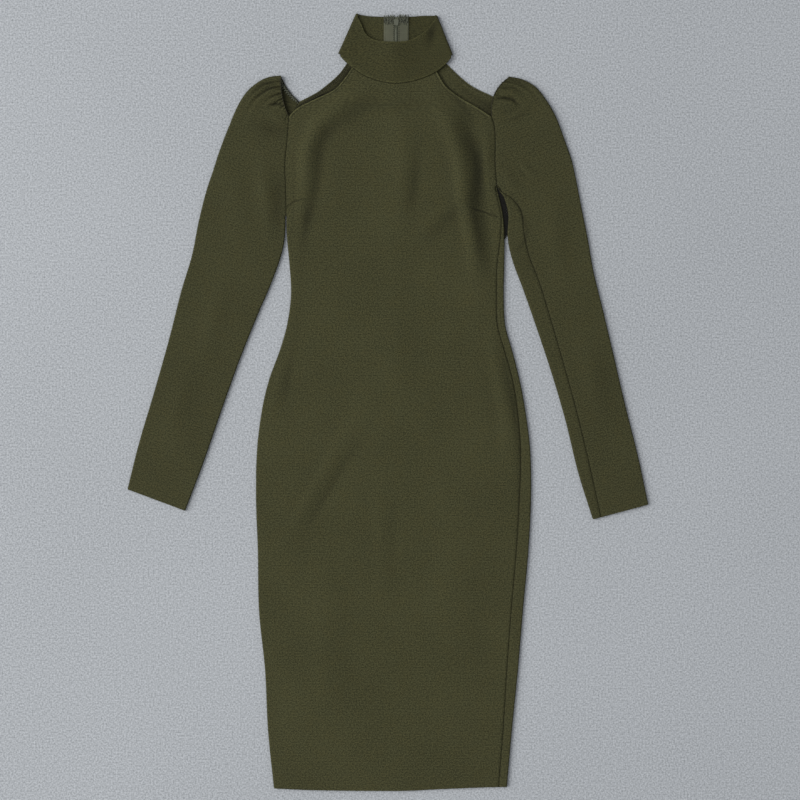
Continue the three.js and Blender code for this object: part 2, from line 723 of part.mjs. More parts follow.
// Half the back, from its side seam to the zip or the centre-back seam.
// On the right it wraps over the side fold to a seam on top, and on the left it meets the front's wrap.
function backGrid(side) {
  const onRight = side > 0;
  const armpit = onRight ? RIGHT_ARMPIT : LEFT_ARMPIT;
  const armhole = onRight ? ARMHOLES.backRight : ARMHOLES.backLeft;
  const cutout = onRight ? CUTOUTS.backRight : CUTOUTS.backLeft;
  const armholeTop = armhole.at(-1);
  const heights = bodyRows();
  for (const share of [0.5, 1]) heights.push(lerp(ARMHOLE_TOP, armholeTop.y, share));
  const grid = [];
  for (const y of heights) {
    const edges = bodyEdges(y);
    const below = onRight ? edges.right : edges.left;
    const edge = y <= armpit ? below : columnAt(armhole, "y", "x", y);
    const seam = columnAt(BODY, "y", "seam", y);
    const centre = ZIP_X + side * lerp(SEAM_GAP / 2, COIL_SLOT, smoothstep(y, 15, ZIP_BOTTOM));
    if (onRight) {
      const strip = foldStrip({
        edge: { x: edge - SEAM_GAP / 2, y },
        inward: { x: -1, y: 0 },
        layer: -1,
        turn: armpitTurn(y, armpit),
        wrap: wrapLength(seam, y, armpit),
        height: BODY_HEIGHT,
        cloth: CLOTH,
      });
      grid.push([...strip, ...rowTo(strip.at(-1), { x: centre, y }, BACK_CELLS, -1)]);
    } else {
      const near = edge + meetingEdge(wrapLength(seam, y, armpit), y, armpit);
      const start = wallPoint(near, y, CLOTH / 2, 0, 0, -1);
      grid.push([start, ...rowTo(start, { x: centre, y }, BACK_CELLS, -1)]);
    }
  }
  const zipSide = ZIP_X + side * COIL_SLOT;
  const neck = neckSeam(BACK_NECKLINE, cutout.at(-1).x, zipSide);
  const middle = (v) => ({ x: zipSide, y: lerp(armholeTop.y, neck(1).y, v) });
  addCutoutRows(grid, outline(cutout), middle, neck, -1);
  return grid.map((row) => settle(row, frontRelief));
}

// Where the armhole's edge is at a height, on the sleeve's side of the seam.
function armholePoint(armhole, side, y) {
  return { x: columnAt(armhole, "y", "x", y) + (side * SEAM_GAP) / 2, y };
}

// Heights along a sleeve: wide steps on the arm, and close ones at the armpit and in the cap.
function sleeveStations(sleeve) {
  const stations = sleeve.table.map((row) => row.along);
  const armpit = sleeve.table.find((row) => row.front >= sleeve.armpit).along;
  for (const step of ARMPIT_STEPS) stations.push(armpit + step * ARMPIT_EASE);
  stations.push(CAP_SEAM_STATION);
  return stations.sort((a, b) => a - b).filter((s, k, all) => k === 0 || s - all[k - 1] > 1);
}

// Points of one layer of a sleeve's section, from its outer fold to its inner end.
function layerLine(outer, inner, bow, cells) {
  const dx = inner.x - outer.x;
  const dy = inner.y - outer.y;
  const length = Math.hypot(dx, dy);
  const points = [];
  for (let k = 1; k <= cells; k += 1) {
    const t = k / cells;
    const out = 4 * t * (1 - t) * bow;
    points.push({ t, x: outer.x + t * dx + (out * dy) / length, y: outer.y + t * dy - (out * dx) / length });
  }
  return points;
}

function sleeveRow(sleeve, along) {
  const value = (column) => columnAt(sleeve.table, "along", column, along);
  const { side, wrappingLayer } = sleeve;
  const cap = smoothstep(along, CAP_START, sleeve.table.at(-1).along);
  const front = value("front");
  const back = value("back");
  const open = front >= sleeve.armpit - 0.01;
  const wrap = wrapLength(value("seam"), front, sleeve.armpit);
  const height = BODY_HEIGHT + CAP_RISE * Math.sin(Math.PI * Math.min(cap * 1.2, 1) * 0.8);
  const outer = { x: value("outerX"), y: value("outerY") };
  const fold = { x: value("innerX") + (side * SEAM_GAP) / 2, y: front };
  const frontEnd = open ? armholePoint(sleeve.frontArmhole, side, front) : fold;
  const backEnd = open ? armholePoint(sleeve.backArmhole, side, back) : fold;
  const turn = armpitTurn(front, sleeve.armpit);
  const innerX = (frontEnd.x + backEnd.x) / 2;
  const innerY = (frontEnd.y + backEnd.y) / 2;
  const direction = new THREE.Vector2(outer.x - innerX, outer.y - innerY).normalize();
  const wrapEdge = wrappingLayer > 0 ? frontEnd : backEnd;
  const meetEdge = wrappingLayer > 0 ? backEnd : frontEnd;
  const strip = foldStrip({
    edge: wrapEdge,
    inward: direction,
    layer: wrappingLayer,
    turn,
    wrap,
    height: BODY_HEIGHT,
    cloth: CLOTH,
  });
  const meeting = meetingEdge(wrap, front, sleeve.armpit) - SEAM_GAP / 2;
  const meetEnd = { x: meetEdge.x + direction.x * meeting, y: meetEdge.y + direction.y * meeting };
  const outerStrip = outerFold(outer, direction, height);
  const topStart = outerStrip.at(-1);
  const backStart = outerStrip[0];
  const topEnd = wrappingLayer > 0 ? strip.at(-1) : meetEnd;
  const underEnd = wrappingLayer > 0 ? meetEnd : strip.at(-1);
  const frontBow = sleeve.frontBow * side * -cap;
  const backBow = sleeve.backBow * side * -cap;
  const top = layerLine(topStart, topEnd, frontBow, SLEEVE_TOP_CELLS);
  const under = layerLine(backStart, underEnd, backBow, SLEEVE_BACK_CELLS);
  const topPoints = top.map(({ t, x, y }) => {
    const wave = 0.5 - 0.5 * Math.cos(2 * Math.PI * sleeve.folds * t);
    const swell = GATHER_DEPTH * cap * wave * Math.sin(Math.PI * clamp(t, 0.02, 0.98)) ** 0.4;
    const z = lerp(height, BODY_HEIGHT, smoothstep(t, 0, 1)) - CLOTH / 2 + swell;
    return wallPoint(x, y, z, 0, 0, 1);
  });
  const underPoints = under.map(({ t, x, y }) => {
    const wave = 0.5 - 0.5 * Math.cos(4 * Math.PI * t);
    const edge = smoothstep(cap, 0.8, 1);
    return wallPoint(x, y, CLOTH / 2 + BACK_GATHER_DEPTH * edge * wave, 0, 0, -1);
  });
  if (wrappingLayer > 0) {
    const towardEdge = strip.slice(0, -1).reverse();
    return [...underPoints.reverse(), ...outerStrip, ...topPoints, ...towardEdge];
  }
  return [...strip.slice(0, -1), ...underPoints.reverse(), ...outerStrip, ...topPoints];
}

// The outer fold of a sleeve, from its layer below to its layer on top.
function outerFold(outer, direction, height) {
  const radius = height / 2 - CLOTH / 2;
  const points = [];
  for (let k = 0; k <= FOLD_CELLS; k += 1) {
    const angle = Math.PI * (k / FOLD_CELLS - 0.5);
    const back = height / 2 - radius * Math.cos(angle);
    points.push(
      wallPoint(
        outer.x - direction.x * back,
        outer.y - direction.y * back,
        height / 2 + radius * Math.sin(angle),
        direction.x * Math.cos(angle),
        direction.y * Math.cos(angle),
        Math.sin(angle),
      ),
    );
  }
  return points;
}

function sleeveGrid(sleeve) {
  return sleeveStations(sleeve).map((along) => sleeveRow(sleeve, along));
}

function towards(from, to) {
  return (share) => ({ x: lerp(from.x, to.x, share), y: lerp(from.y, to.y, share) });
}

// The collar: one band, folded flat at both sides and open at the centre back.
function collarGrid() {
  const leftFold = towards(COLLAR_FOLD.left.low, COLLAR_FOLD.left.high);
  const rightFold = towards(COLLAR_FOLD.right.low, COLLAR_FOLD.right.high);
  const front = patch(outline(FRONT_NECKLINE), outline(FRONT_COLLAR_TOP), leftFold, rightFold);
  const back = patch(outline(BACK_NECKLINE), outline(BACK_COLLAR_TOP), leftFold, rightFold);
  const grid = [];
  for (let i = 0; i <= COLLAR_ROWS; i += 1) {
    const v = i / COLLAR_ROWS;
    const low = COLLAR_CLOTH / 2;
    const high = COLLAR_HEIGHT - COLLAR_CLOTH / 2;
    const left = leftFold(v);
    const right = rightFold(v);
    const width = right.x - left.x;
    const inset = COLLAR_HEIGHT / 2 / width;
    const backLine = (from, to) => {
      const points = [];
      for (let k = 0; k < COLLAR_BACK_CELLS; k += 1) {
        const u = lerp(from, to, k / COLLAR_BACK_CELLS);
        const { x, y } = back(u, v);
        points.push(wallPoint(x, y, low, 0, 0, -1));
      }
      return points;
    };
    const shareAt = (x) => (x - left.x) / width;
    const frontLine = [];
    for (let k = 1; k < COLLAR_FRONT_CELLS; k += 1) {
      const { x, y } = front(lerp(inset, 1 - inset, k / COLLAR_FRONT_CELLS), v);
      frontLine.push(wallPoint(x, y, high, 0, 0, 1));
    }
    const row = [
      ...backLine(shareAt(ZIP_X - COLLAR_SLOT), inset),
      ...collarFold(left, -1),
      ...frontLine,
      ...collarFold(right, 1).reverse(),
      ...backLine(shareAt(ZIP_X + COLLAR_SLOT), 1 - inset).reverse(),
    ];
    grid.push(settle(row, zipRidge));
  }
  return grid;
}

function collarFold(edge, side) {
  const radius = COLLAR_HEIGHT / 2 - COLLAR_CLOTH / 2;
  const points = [];
  for (let k = 0; k <= FOLD_CELLS; k += 1) {
    const angle = Math.PI * (k / FOLD_CELLS - 0.5);
    const x = edge.x - side * (COLLAR_HEIGHT / 2 - radius * Math.cos(angle));
    const z = COLLAR_HEIGHT / 2 + radius * Math.sin(angle);
    points.push(wallPoint(x, edge.y, z, side * Math.cos(angle), 0, Math.sin(angle)));
  }
  return points;
}

// The middle of the zip tape's height, which lies on the back and then on the thicker collar.
function tapeMiddle(y) {
  const step = (COLLAR_CLOTH - CLOTH) * smoothstep(y, 462, 484);
  return CLOTH + SEAM_GAP + TAPE_CLOTH / 2 + step;
}

function tapeGrid(side) {
  const grid = [];
  const rows = 12;
  const columns = 3;
  for (let i = 0; i <= rows; i += 1) {
    const y = i < 4 ? lerp(TAPE_END, 440, i / 4) : lerp(440, ZIP_TOP, (i - 4) / (rows - 4));
    const row = [];
    for (let j = 0; j <= columns; j += 1) {
      const x = ZIP_X + side * lerp(COIL_SLOT, TAPE_HALF_WIDTH, j / columns);
      row.push(wallPoint(x, y, tapeMiddle(y) + zipLift(x, y), 0, 0, 1));
    }
    grid.push(row);
  }
  return grid;
}

function coilGrid() {
  const grid = [];
  const top = SLIDER_Y - SLIDER_LENGTH / 2 - SEAM_GAP;
  const rows = 12;
  for (let i = 0; i <= rows; i += 1) {
    const y = i < 4 ? lerp(ZIP_BOTTOM, 440, i / 4) : lerp(440, top, (i - 4) / (rows - 4));
    const z = tapeMiddle(y) + zipLift(ZIP_X, y);
    const row = [];
    for (const x of [-COIL_HALF_WIDTH, 0, COIL_HALF_WIDTH]) row.push(wallPoint(ZIP_X + x, y, z, 0, 0, 1));
    grid.push(row);
  }
  return grid;
}

// A three.js geometry as a solid that can be joined and cut.
function solidOf(geometry, x, y, z) {
  const bare = geometry.clone();
  bare.deleteAttribute("normal");
  bare.deleteAttribute("uv");
  bare.translate(x, y, z);
  const merged = mergeVertices(bare, 1e-4);
  return new wasm.Manifold(
    new wasm.Mesh({
      numProp: 3,
      vertProperties: merged.attributes.position.array,
      triVerts: new Uint32Array(merged.index.array),
    }),
  );
}

function geometryOf(solid) {
  const { vertProperties, triVerts } = solid.getMesh();
  const geometry = new THREE.BufferGeometry();
  geometry.setAttribute("position", new THREE.Float32BufferAttribute(vertProperties, 3));
  geometry.setIndex(Array.from(triVerts));
  geometry.computeVertexNormals();
  return geometry;
}

const SLIDER_MIDDLE = tapeMiddle(SLIDER_Y) + ZIP_LIFT;
const PLATE_MIDDLE = SLIDER_MOUTH / 2 + SLIDER_PLATE / 2;
const HINGE_Z = SLIDER_MIDDLE - SLIDER_MOUTH / 2 - SLIDER_PLATE - HINGE_DROP;

// A slider plate seen from above: wide where the zip opens, and narrower at its closed end.
function sliderPlate() {
  const shape = new THREE.Shape();
  const half = SLIDER_LENGTH / 2;
  shape.moveTo(-SLIDER_HALF_WIDTH + 0.9, -half);
  shape.lineTo(SLIDER_HALF_WIDTH - 0.9, -half);
  shape.lineTo(SLIDER_HALF_WIDTH, half - 1.8);
  shape.lineTo(SLIDER_HALF_WIDTH - 1.2, half);
  shape.lineTo(-SLIDER_HALF_WIDTH + 1.2, half);
  shape.lineTo(-SLIDER_HALF_WIDTH, half - 1.8);
  shape.closePath();
  return new THREE.ExtrudeGeometry(shape, { depth: SLIDER_PLATE, bevelEnabled: false });
}

// The slider: two plates on a post between the tapes, and a bail that holds the pull tab.
function sliderGeometry() {
  const half = SLIDER_PLATE / 2;
  const outerPlate = SLIDER_MIDDLE - PLATE_MIDDLE;
  const bailBottom = HINGE_Z - BAIL_DROP - BAIL_THICKNESS;
  const postWidth = 2 * (COIL_SLOT - SEAM_GAP) - 1;
  const post = new THREE.BoxGeometry(postWidth, 2.4, SLIDER_MOUTH + SLIDER_PLATE);
  const bailPost = new THREE.BoxGeometry(BAIL_WIDTH, BAIL_POST, outerPlate - bailBottom);
  const bar = new THREE.BoxGeometry(BAIL_WIDTH, 2 * BAIL_SPAN, BAIL_THICKNESS);
  const bailMiddle = (outerPlate + bailBottom) / 2;
  return geometryOf(
    solidOf(sliderPlate(), ZIP_X, SLIDER_Y, SLIDER_MIDDLE + PLATE_MIDDLE - half)
      .add(solidOf(sliderPlate(), ZIP_X, SLIDER_Y, outerPlate - half))
      .add(solidOf(post, ZIP_X, SLIDER_Y + SLIDER_LENGTH / 2 - 2.2, SLIDER_MIDDLE))
      .add(solidOf(bailPost, ZIP_X, HINGE_Y - BAIL_SPAN, bailMiddle))
      .add(solidOf(bailPost, ZIP_X, HINGE_Y + BAIL_SPAN, bailMiddle))
      .add(solidOf(bar, ZIP_X, HINGE_Y, bailBottom + BAIL_THICKNESS / 2)),
  );
}

// The pull tab: a crossbar inside the bail, two arms round it, and a rounded grip.
function pullGeometry() {
  const barHalf = PULL_THICKNESS / 2;
  const shape = new THREE.Shape();
  shape.moveTo(-PULL_EYE_HALF_WIDTH, barHalf);
  shape.lineTo(-PULL_EYE_HALF_WIDTH, -PULL_SHOULDER);
  shape.lineTo(-PULL_HALF_WIDTH, -PULL_NECK);
  shape.absarc(0, -PULL_LENGTH + PULL_HALF_WIDTH, PULL_HALF_WIDTH, Math.PI, 2 * Math.PI, false);
  shape.lineTo(PULL_HALF_WIDTH, -PULL_NECK);
  shape.lineTo(PULL_EYE_HALF_WIDTH, -PULL_SHOULDER);
  shape.lineTo(PULL_EYE_HALF_WIDTH, barHalf);
  shape.closePath();
  const window = new THREE.Path();
  const half = PULL_EYE_HALF_WIDTH - PULL_ARM;
  window.moveTo(-half, -barHalf);
  window.lineTo(half, -barHalf);
  window.lineTo(half, -PULL_WINDOW);
  window.lineTo(-half, -PULL_WINDOW);
  window.closePath();
  shape.holes.push(window);
  const plate = { depth: PULL_THICKNESS, bevelEnabled: false, curveSegments: 8 };
  const tab = new THREE.ExtrudeGeometry(shape, plate);
  return geometryOf(solidOf(tab, ZIP_X, HINGE_Y, HINGE_Z - barHalf));
}

const clothMaterial = new THREE.MeshStandardMaterial({ color: OLIVE, roughness: 0.9 });
const collarMaterial = new THREE.MeshStandardMaterial({ color: OLIVE_DARK, roughness: 0.9 });
const tapeMaterial = new THREE.MeshStandardMaterial({ color: SAGE, roughness: 0.85 });
const coilMaterial = new THREE.MeshStandardMaterial({ color: SAGE, roughness: 0.5 });
const metalMaterial = new THREE.MeshStandardMaterial({ color: ZIP_METAL, roughness: 0.4, metalness: 0.6 });

const dress = new THREE.Group();
dress.position.set(-MIDDLE_X, -MIDDLE_Y, 0);

function addPiece(name, geometry, material) {
  const mesh = new THREE.Mesh(geometry, material);
  mesh.name = name;
  dress.add(mesh);
}

addPiece("front_panel", wallGeometry(frontGrid(), CLOTH), clothMaterial);
addPiece("back_left", wallGeometry(backGrid(-1), CLOTH), clothMaterial);
addPiece("back_right", wallGeometry(backGrid(1), CLOTH), clothMaterial);
addPiece("sleeve_left", wallGeometry(sleeveGrid(SLEEVES.left), CLOTH), clothMaterial);
addPiece("sleeve_right", wallGeometry(sleeveGrid(SLEEVES.right), CLOTH), clothMaterial);
addPiece("collar", wallGeometry(collarGrid(), COLLAR_CLOTH), collarMaterial);
addPiece("zip_tape_left", wallGeometry(tapeGrid(-1), TAPE_CLOTH), tapeMaterial);
addPiece("zip_tape_right", wallGeometry(tapeGrid(1), TAPE_CLOTH), tapeMaterial);
addPiece("zip_coil", wallGeometry(coilGrid(), COIL_THICKNESS), coilMaterial);
addPiece("zip_slider", sliderGeometry(), metalMaterial);
addPiece("zip_pull", pullGeometry(), metalMaterial);

export default dress;
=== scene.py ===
import math

import bpy
import numpy as np
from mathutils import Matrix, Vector


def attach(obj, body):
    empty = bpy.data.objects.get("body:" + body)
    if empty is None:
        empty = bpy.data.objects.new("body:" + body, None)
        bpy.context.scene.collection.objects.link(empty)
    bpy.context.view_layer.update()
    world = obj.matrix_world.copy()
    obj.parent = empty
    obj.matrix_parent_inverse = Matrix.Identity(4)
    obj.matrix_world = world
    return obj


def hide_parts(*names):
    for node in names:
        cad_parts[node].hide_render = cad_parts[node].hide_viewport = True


# The dress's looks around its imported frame. Tables and lengths here are in millimetres, and the
# meshes are put into the frame in metres.
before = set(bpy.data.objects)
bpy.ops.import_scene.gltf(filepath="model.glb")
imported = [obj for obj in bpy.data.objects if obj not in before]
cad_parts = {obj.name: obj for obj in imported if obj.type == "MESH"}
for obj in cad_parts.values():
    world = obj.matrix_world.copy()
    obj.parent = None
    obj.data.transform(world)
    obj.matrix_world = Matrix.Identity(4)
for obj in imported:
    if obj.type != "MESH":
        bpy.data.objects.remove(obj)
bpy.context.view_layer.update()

MIDDLE = np.array([0.6, -0.53, 0.0])
MM = 0.001

# Cloth
CLOTH = 1.5
COLLAR_CLOTH = 2.2
TAPE_CLOTH = 1.0
LAYER_GAP = 1.2
SEAM_GAP = 0.3
NECK_GAP = 0.2
BODY_HEIGHT = 2 * CLOTH + LAYER_GAP
COLLAR_HEIGHT = 2 * COLLAR_CLOTH + LAYER_GAP
LEAST_WRAP = 0.6
EDGE_ROUND = 0.55
SEAM_DIP = 0.5
SEAM_DIP_WIDTH = 1.6


def table(names, rows):
    """A table as one array for each named column."""
    return dict(zip(names.split(), np.array(rows, float).T))


# Body outline seen from above: the two side folds, and how far in from them the side seams lie
BODY = table(
    "y left right seam",
    [
        (-547, -161, 169.5, 11.8),
        (-465, -169.4, 176.5, 12.5),
        (-380, -173.6, 185, 15.6),
        (-295, -182.2, 192.1, 16.5),
        (-210, -183.8, 199.9, 17),
        (-139, -186.4, 203.4, 16.2),
        (-68, -185, 202.4, 13.5),
        (-11, -177.9, 195.3, 11),
        (31, -168, 187.4, 9.8),
        (74, -152.4, 176.5, 10.8),
        (109, -142.5, 167, 11),
        (152, -136.8, 164.9, 10.2),
        (194, -138.9, 165.6, 10),
        (230, -142.3, 166, 6),
        (264, -143.5, 163.7, 2.6),
        (303.4, -144, 155.2, 2.6),
    ],
)

# How far the hem lies above (or, where negative, below) the lowest row
HEM = table(
    "x rise",
    [(-161, -0.2), (-108, -2.5), (-30, -3.6), (25, -3.5), (75, -1.2), (130, 1.1), (169.5, 2)],
)
HEM_FADE = 110
LEFT_ARMPIT = 264
RIGHT_ARMPIT = 303.4
ARMPIT_EASE = 8
ARMHOLE_TOP = 404

# Armhole seams: the front one on top and the back one below it
FRONT_LEFT_ARMHOLE = table(
    "y x", [(264, -143.5), (300, -144), (336, -145.2), (371, -142), (404, -139.8)]
)
BACK_LEFT_ARMHOLE = table(
    "y x",
    [(264, -143.5), (300, -143.6), (336, -143.6), (371, -142), (397, -138.9), (425.4, -125.2)],
)
FRONT_RIGHT_ARMHOLE = table(
    "y x", [(303.4, 155.2), (336, 152.6), (367, 152.8), (390, 151.6), (404, 147.5)]
)
BACK_RIGHT_ARMHOLE = table(
    "y x",
    [(303.4, 155.2), (336, 153.5), (367, 153.1), (391, 153.1), (407, 153.8), (430.2, 155.2)],
)

# Free edges of the shoulder cut-outs, from the armhole to the collar
FRONT_LEFT_CUTOUT = [
    (-139.8, 404), (-129.7, 414.6), (-104.2, 428.1), (-74.7, 442.6), (-58.8, 460.7), (-50.3, 473.6),
]
FRONT_RIGHT_CUTOUT = [(147.5, 404), (126.2, 417.9), (104.5, 430.5), (82.9, 447.2), (70.2, 467.9)]
BACK_LEFT_CUTOUT = [
    (-125.2, 425.4), (-99.1, 439.3), (-84.2, 450.6), (-68.8, 464.6), (-59.2, 477.4), (-50.5, 488.3),
]
BACK_RIGHT_CUTOUT = [
    (155.2, 430.2), (148, 433.6), (120.8, 446.8), (101.6, 461.8), (86.2, 476.9), (75, 487.6),
]

# Collar: its two folds lean inwards, and its edges run from the left fold to the right one
LEFT_COLLAR_FOLD = ((-70.2, 492.9), (-44.7, 549.7))
RIGHT_COLLAR_FOLD = ((92.8, 491.2), (70.5, 547.2))
FRONT_NECKLINE = [
    (-70.2, 492.9), (-58, 479.8), (-50.3, 473.6), (-35, 463), (-14, 454.6), (10, 450.5),
    (33, 453.3), (53.6, 459.5), (70.2, 467.9), (84.8, 480.2), (92.8, 491.2),
]
FRONT_COLLAR_TOP = [
    (-44.7, 549.7), (-37.6, 536), (-30.6, 521.1), (-19.7, 512.9), (-7.8, 510.2), (26, 510.3),
    (40, 515.6), (53.6, 525), (66, 540), (70.5, 547.2),
]
BACK_NECKLINE = [(-70.2, 492.9), (-50.5, 488.3), (12.3, 484), (75, 487.6), (92.8, 491.2)]
BACK_COLLAR_TOP = [
    (-44.7, 549.7), (-27.6, 546.7), (-8, 545.4), (32, 545.4), (50, 547), (70.5, 547.2),
]

# Sleeves, a row for each section from the cuff to the gathered free edge of the cap
SLEEVE_COLUMNS = "along outerX outerY innerX front back seam"
LEFT_SLEEVE = table(
    SLEEVE_COLUMNS,
    [
        (0, -368.3, -123.6, -286.3, -154.2, -154.2, 12),
        (72, -351.5, -56.7, -260.1, -85, -85, 18),
        (149, -329.6, 17, -234.6, -11.3, -11.3, 18.6),
        (225, -308.9, 90.7, -209.1, 59.5, 59.5, 20),
        (294, -292, 157.3, -183.6, 123.3, 123.3, 22),
        (346, -277.1, 207, -163, 171.5, 171.5, 24),
        (397, -267.2, 256.6, -147.2, 219.7, 219.7, 20),
        (440, -256.9, 297.7, -144, 264, 264, 2.6),
        (475, -246.6, 328.9, -144, 300.5, 300.5, 2.6),
        (507, -237.4, 357.2, -144, 336, 336, 2.6),
        (542, -224.7, 389.8, -144, 371, 369, 2.6),
        (568, -211.9, 419.6, -144, 389.8, 396, 2.6),
        (586, -198.5, 440.1, -144, 395.8, 406.5, 2.6),
        (602, -180.7, 454.7, -144, 399.2, 413.9, 2.6),
        (612, -166.6, 460.4, -144, 401.7, 419.6, 2.6),
        (623, -151, 462.1, -144, 404, 425.4, 2.6),
    ],
)
RIGHT_SLEEVE = table(
    SLEEVE_COLUMNS,
    [
        (0, 369.5, -145.3, 290.7, -166.3, -166.3, 12),
        (70, 355.1, -78, 270, -100.6, -100.6, 18),
        (147, 336.4, -2.8, 251.6, -25.5, -25.5, 18.7),
        (216, 320.6, 65.2, 232.5, 39.7, 39.7, 20),
        (282, 305.5, 129, 211.9, 102.1, 102.1, 22.5),
        (341, 291.7, 185.7, 192.1, 158.8, 158.8, 25),
        (387, 283.6, 232.5, 176.5, 201.3, 201.3, 24.5),
        (421, 276.1, 269.3, 170, 232.5, 232.5, 24.5),
        (453, 270, 300.5, 170.8, 265.1, 265.1, 19),
        (474, 265.8, 321.8, 165, 289.2, 289.2, 8),
        (492, 260.8, 343, 155.7, 303.4, 303.4, 2.6),
        (521, 250.9, 371.4, 155.7, 336, 336, 2.6),
        (553, 238.8, 403.3, 155.7, 367, 367, 2.6),
        (578, 225.4, 426.7, 155.7, 388.4, 391, 2.6),
        (598, 209.8, 446.1, 155.7, 396.2, 407, 2.6),
        (613, 192.1, 456.4, 155.7, 400.4, 419.6, 2.6),
        (630, 171.5, 461, 155.7, 404, 430.2, 2.6),
    ],
)

# The gathers of each cap as seen from above: the share of the section where each one lies at the
# free edge, how far it moves from there down the cap, its width, its depth, and how far it runs.
GATHER_COLUMNS = "at drift width depth reach"
LEFT_GATHERS = table(
    GATHER_COLUMNS,
    [
        (0.06, -0.02, 0.018, 1.3, 16),
        (0.13, -0.05, 0.020, 2.1, 40),
        (0.18, -0.03, 0.014, 1.2, 12),
        (0.27, -0.09, 0.026, 2.5, 44),
        (0.34, -0.10, 0.016, 1.3, 15),
        (0.45, -0.06, 0.028, 2.3, 24),
        (0.52, -0.01, 0.014, 1.1, 9),
        (0.60, 0.00, 0.020, 2.1, 17),
        (0.67, 0.04, 0.016, 1.3, 10),
        (0.78, 0.00, 0.026, 1.9, 15),
        (0.86, 0.03, 0.015, 1.2, 9),
        (0.93, 0.01, 0.016, 1.0, 8),
    ],
)
RIGHT_GATHERS = table(
    GATHER_COLUMNS,
    [
        (0.06, -0.02, 0.018, 1.0, 12),
        (0.13, -0.05, 0.024, 1.9, 34),
        (0.22, -0.03, 0.015, 0.8, 9),
        (0.31, -0.04, 0.020, 1.1, 14),
        (0.42, -0.02, 0.017, 0.8, 9),
        (0.50, 0.01, 0.022, 1.2, 16),
        (0.60, 0.03, 0.016, 0.8, 9),
        (0.70, 0.04, 0.021, 1.1, 12),
        (0.80, 0.03, 0.016, 0.8, 8),
        (0.88, 0.01, 0.018, 0.9, 8),
    ],
)

CAP_START = 500
CAP_FRAME = 440
CAP_RISE = 1.3
GATHER_LIFT = 2.4
BACK_GATHER_DEPTH = 0.7

# Soft folds, each a ridge or a trough along a line of points: x, y, width, height
FRONT_FOLDS = [
    [
        (62, 440, 16, 0.3), (88, 395, 17, 2.6), (103, 345, 15, 3.8), (109, 285, 14, 3.4),
        (119, 228, 13, 2.4), (127, 165, 12, 0.3),
    ],
    [
        (92, 440, 9, -0.2), (117, 385, 10, -0.6), (130, 340, 9, -0.7), (135, 280, 9, -0.7),
        (143, 220, 9, -0.5), (147, 170, 9, 0),
    ],
    [(144, 390, 9, 0.4), (146, 350, 9, 1.6), (147, 300, 9, 0.4)],
    [
        (-17, 445, 15, 0.3), (-53, 428, 16, 1.6), (-98, 392, 15, 2.6), (-113, 357, 14, 2.4),
        (-116, 300, 13, 1.8), (-124, 250, 12, 0.2),
    ],
    [
        (-10, 428, 10, -0.2), (-67, 400, 10, -0.6), (-93, 371, 10, -0.7), (-101, 308, 10, -0.6),
        (-110, 250, 10, 0),
    ],
    [(25, 390, 12, 0.1), (23, 330, 12, 1), (20, 262, 12, 0.1)],
    [(103, 288, 11, 0.2), (70, 262, 11, 1), (36, 235, 12, 0.1)],
    [(-148, 75, 9, 0.1), (-155, 30, 9, 0.8), (-163, -20, 9, 0.1)],
    [
        (-10, 40, 20, 0.1), (-42, -20, 18, 0.9), (-78, -82, 14, 1.4), (-112, -140, 12, 1.2),
        (-146, -200, 12, 0.1),
    ],
    [(-11, -100, 13, 0.1), (-10, -190, 13, 0.7), (-8, -290, 15, 0.1)],
    [(-90, -190, 24, 0.1), (-87, -310, 26, 1.9), (-84, -440, 24, 0.3)],
    [(100, -120, 30, 0.1), (97, -270, 32, 1), (95, -420, 30, 0.1)],
    [(148, 105, 13, 0.2), (156, 50, 13, 1.3), (168, -20, 13, 1.3), (173, -95, 13, 0.2)],
]
FOLD_GAIN = 1.5
MOST_RELIEF = 6

# Small folds that the frame leaves out: the troughs beside larger folds, and the bust darts
FRONT_CREASES = [
    [(45, 375, 9, 0), (40, 320, 9, -0.5), (33, 262, 9, 0)],
    [(-30, -50, 9, 0), (-64, -92, 7, -0.5), (-94, -144, 6, -0.5), (-116, -180, 6, 0)],
    [(8, -110, 10, 0), (7, -190, 10, -0.3), (6, -280, 10, 0)],
    [(-138, 70, 6, 0), (-143, 30, 6, -0.3), (-150, -10, 6, 0)],
    [(177, 12, 2.5, 0), (180, -20, 2.5, -0.4), (182, -55, 2.5, 0)],
]
DARTS = [
    [
        (-141, 276.4, 1.5, -0.8), (-132.5, 283.5, 1.4, -0.8), (-120, 286.8, 1.4, -0.6),
        (-98.5, 287.8, 1.6, -0.1),
    ],
    [
        (109.9, 276.4, 1.6, -0.1), (122, 273.4, 1.4, -0.7), (140.6, 267.9, 1.4, -0.9),
        (156.6, 262.2, 1.5, -0.9),
    ],
]
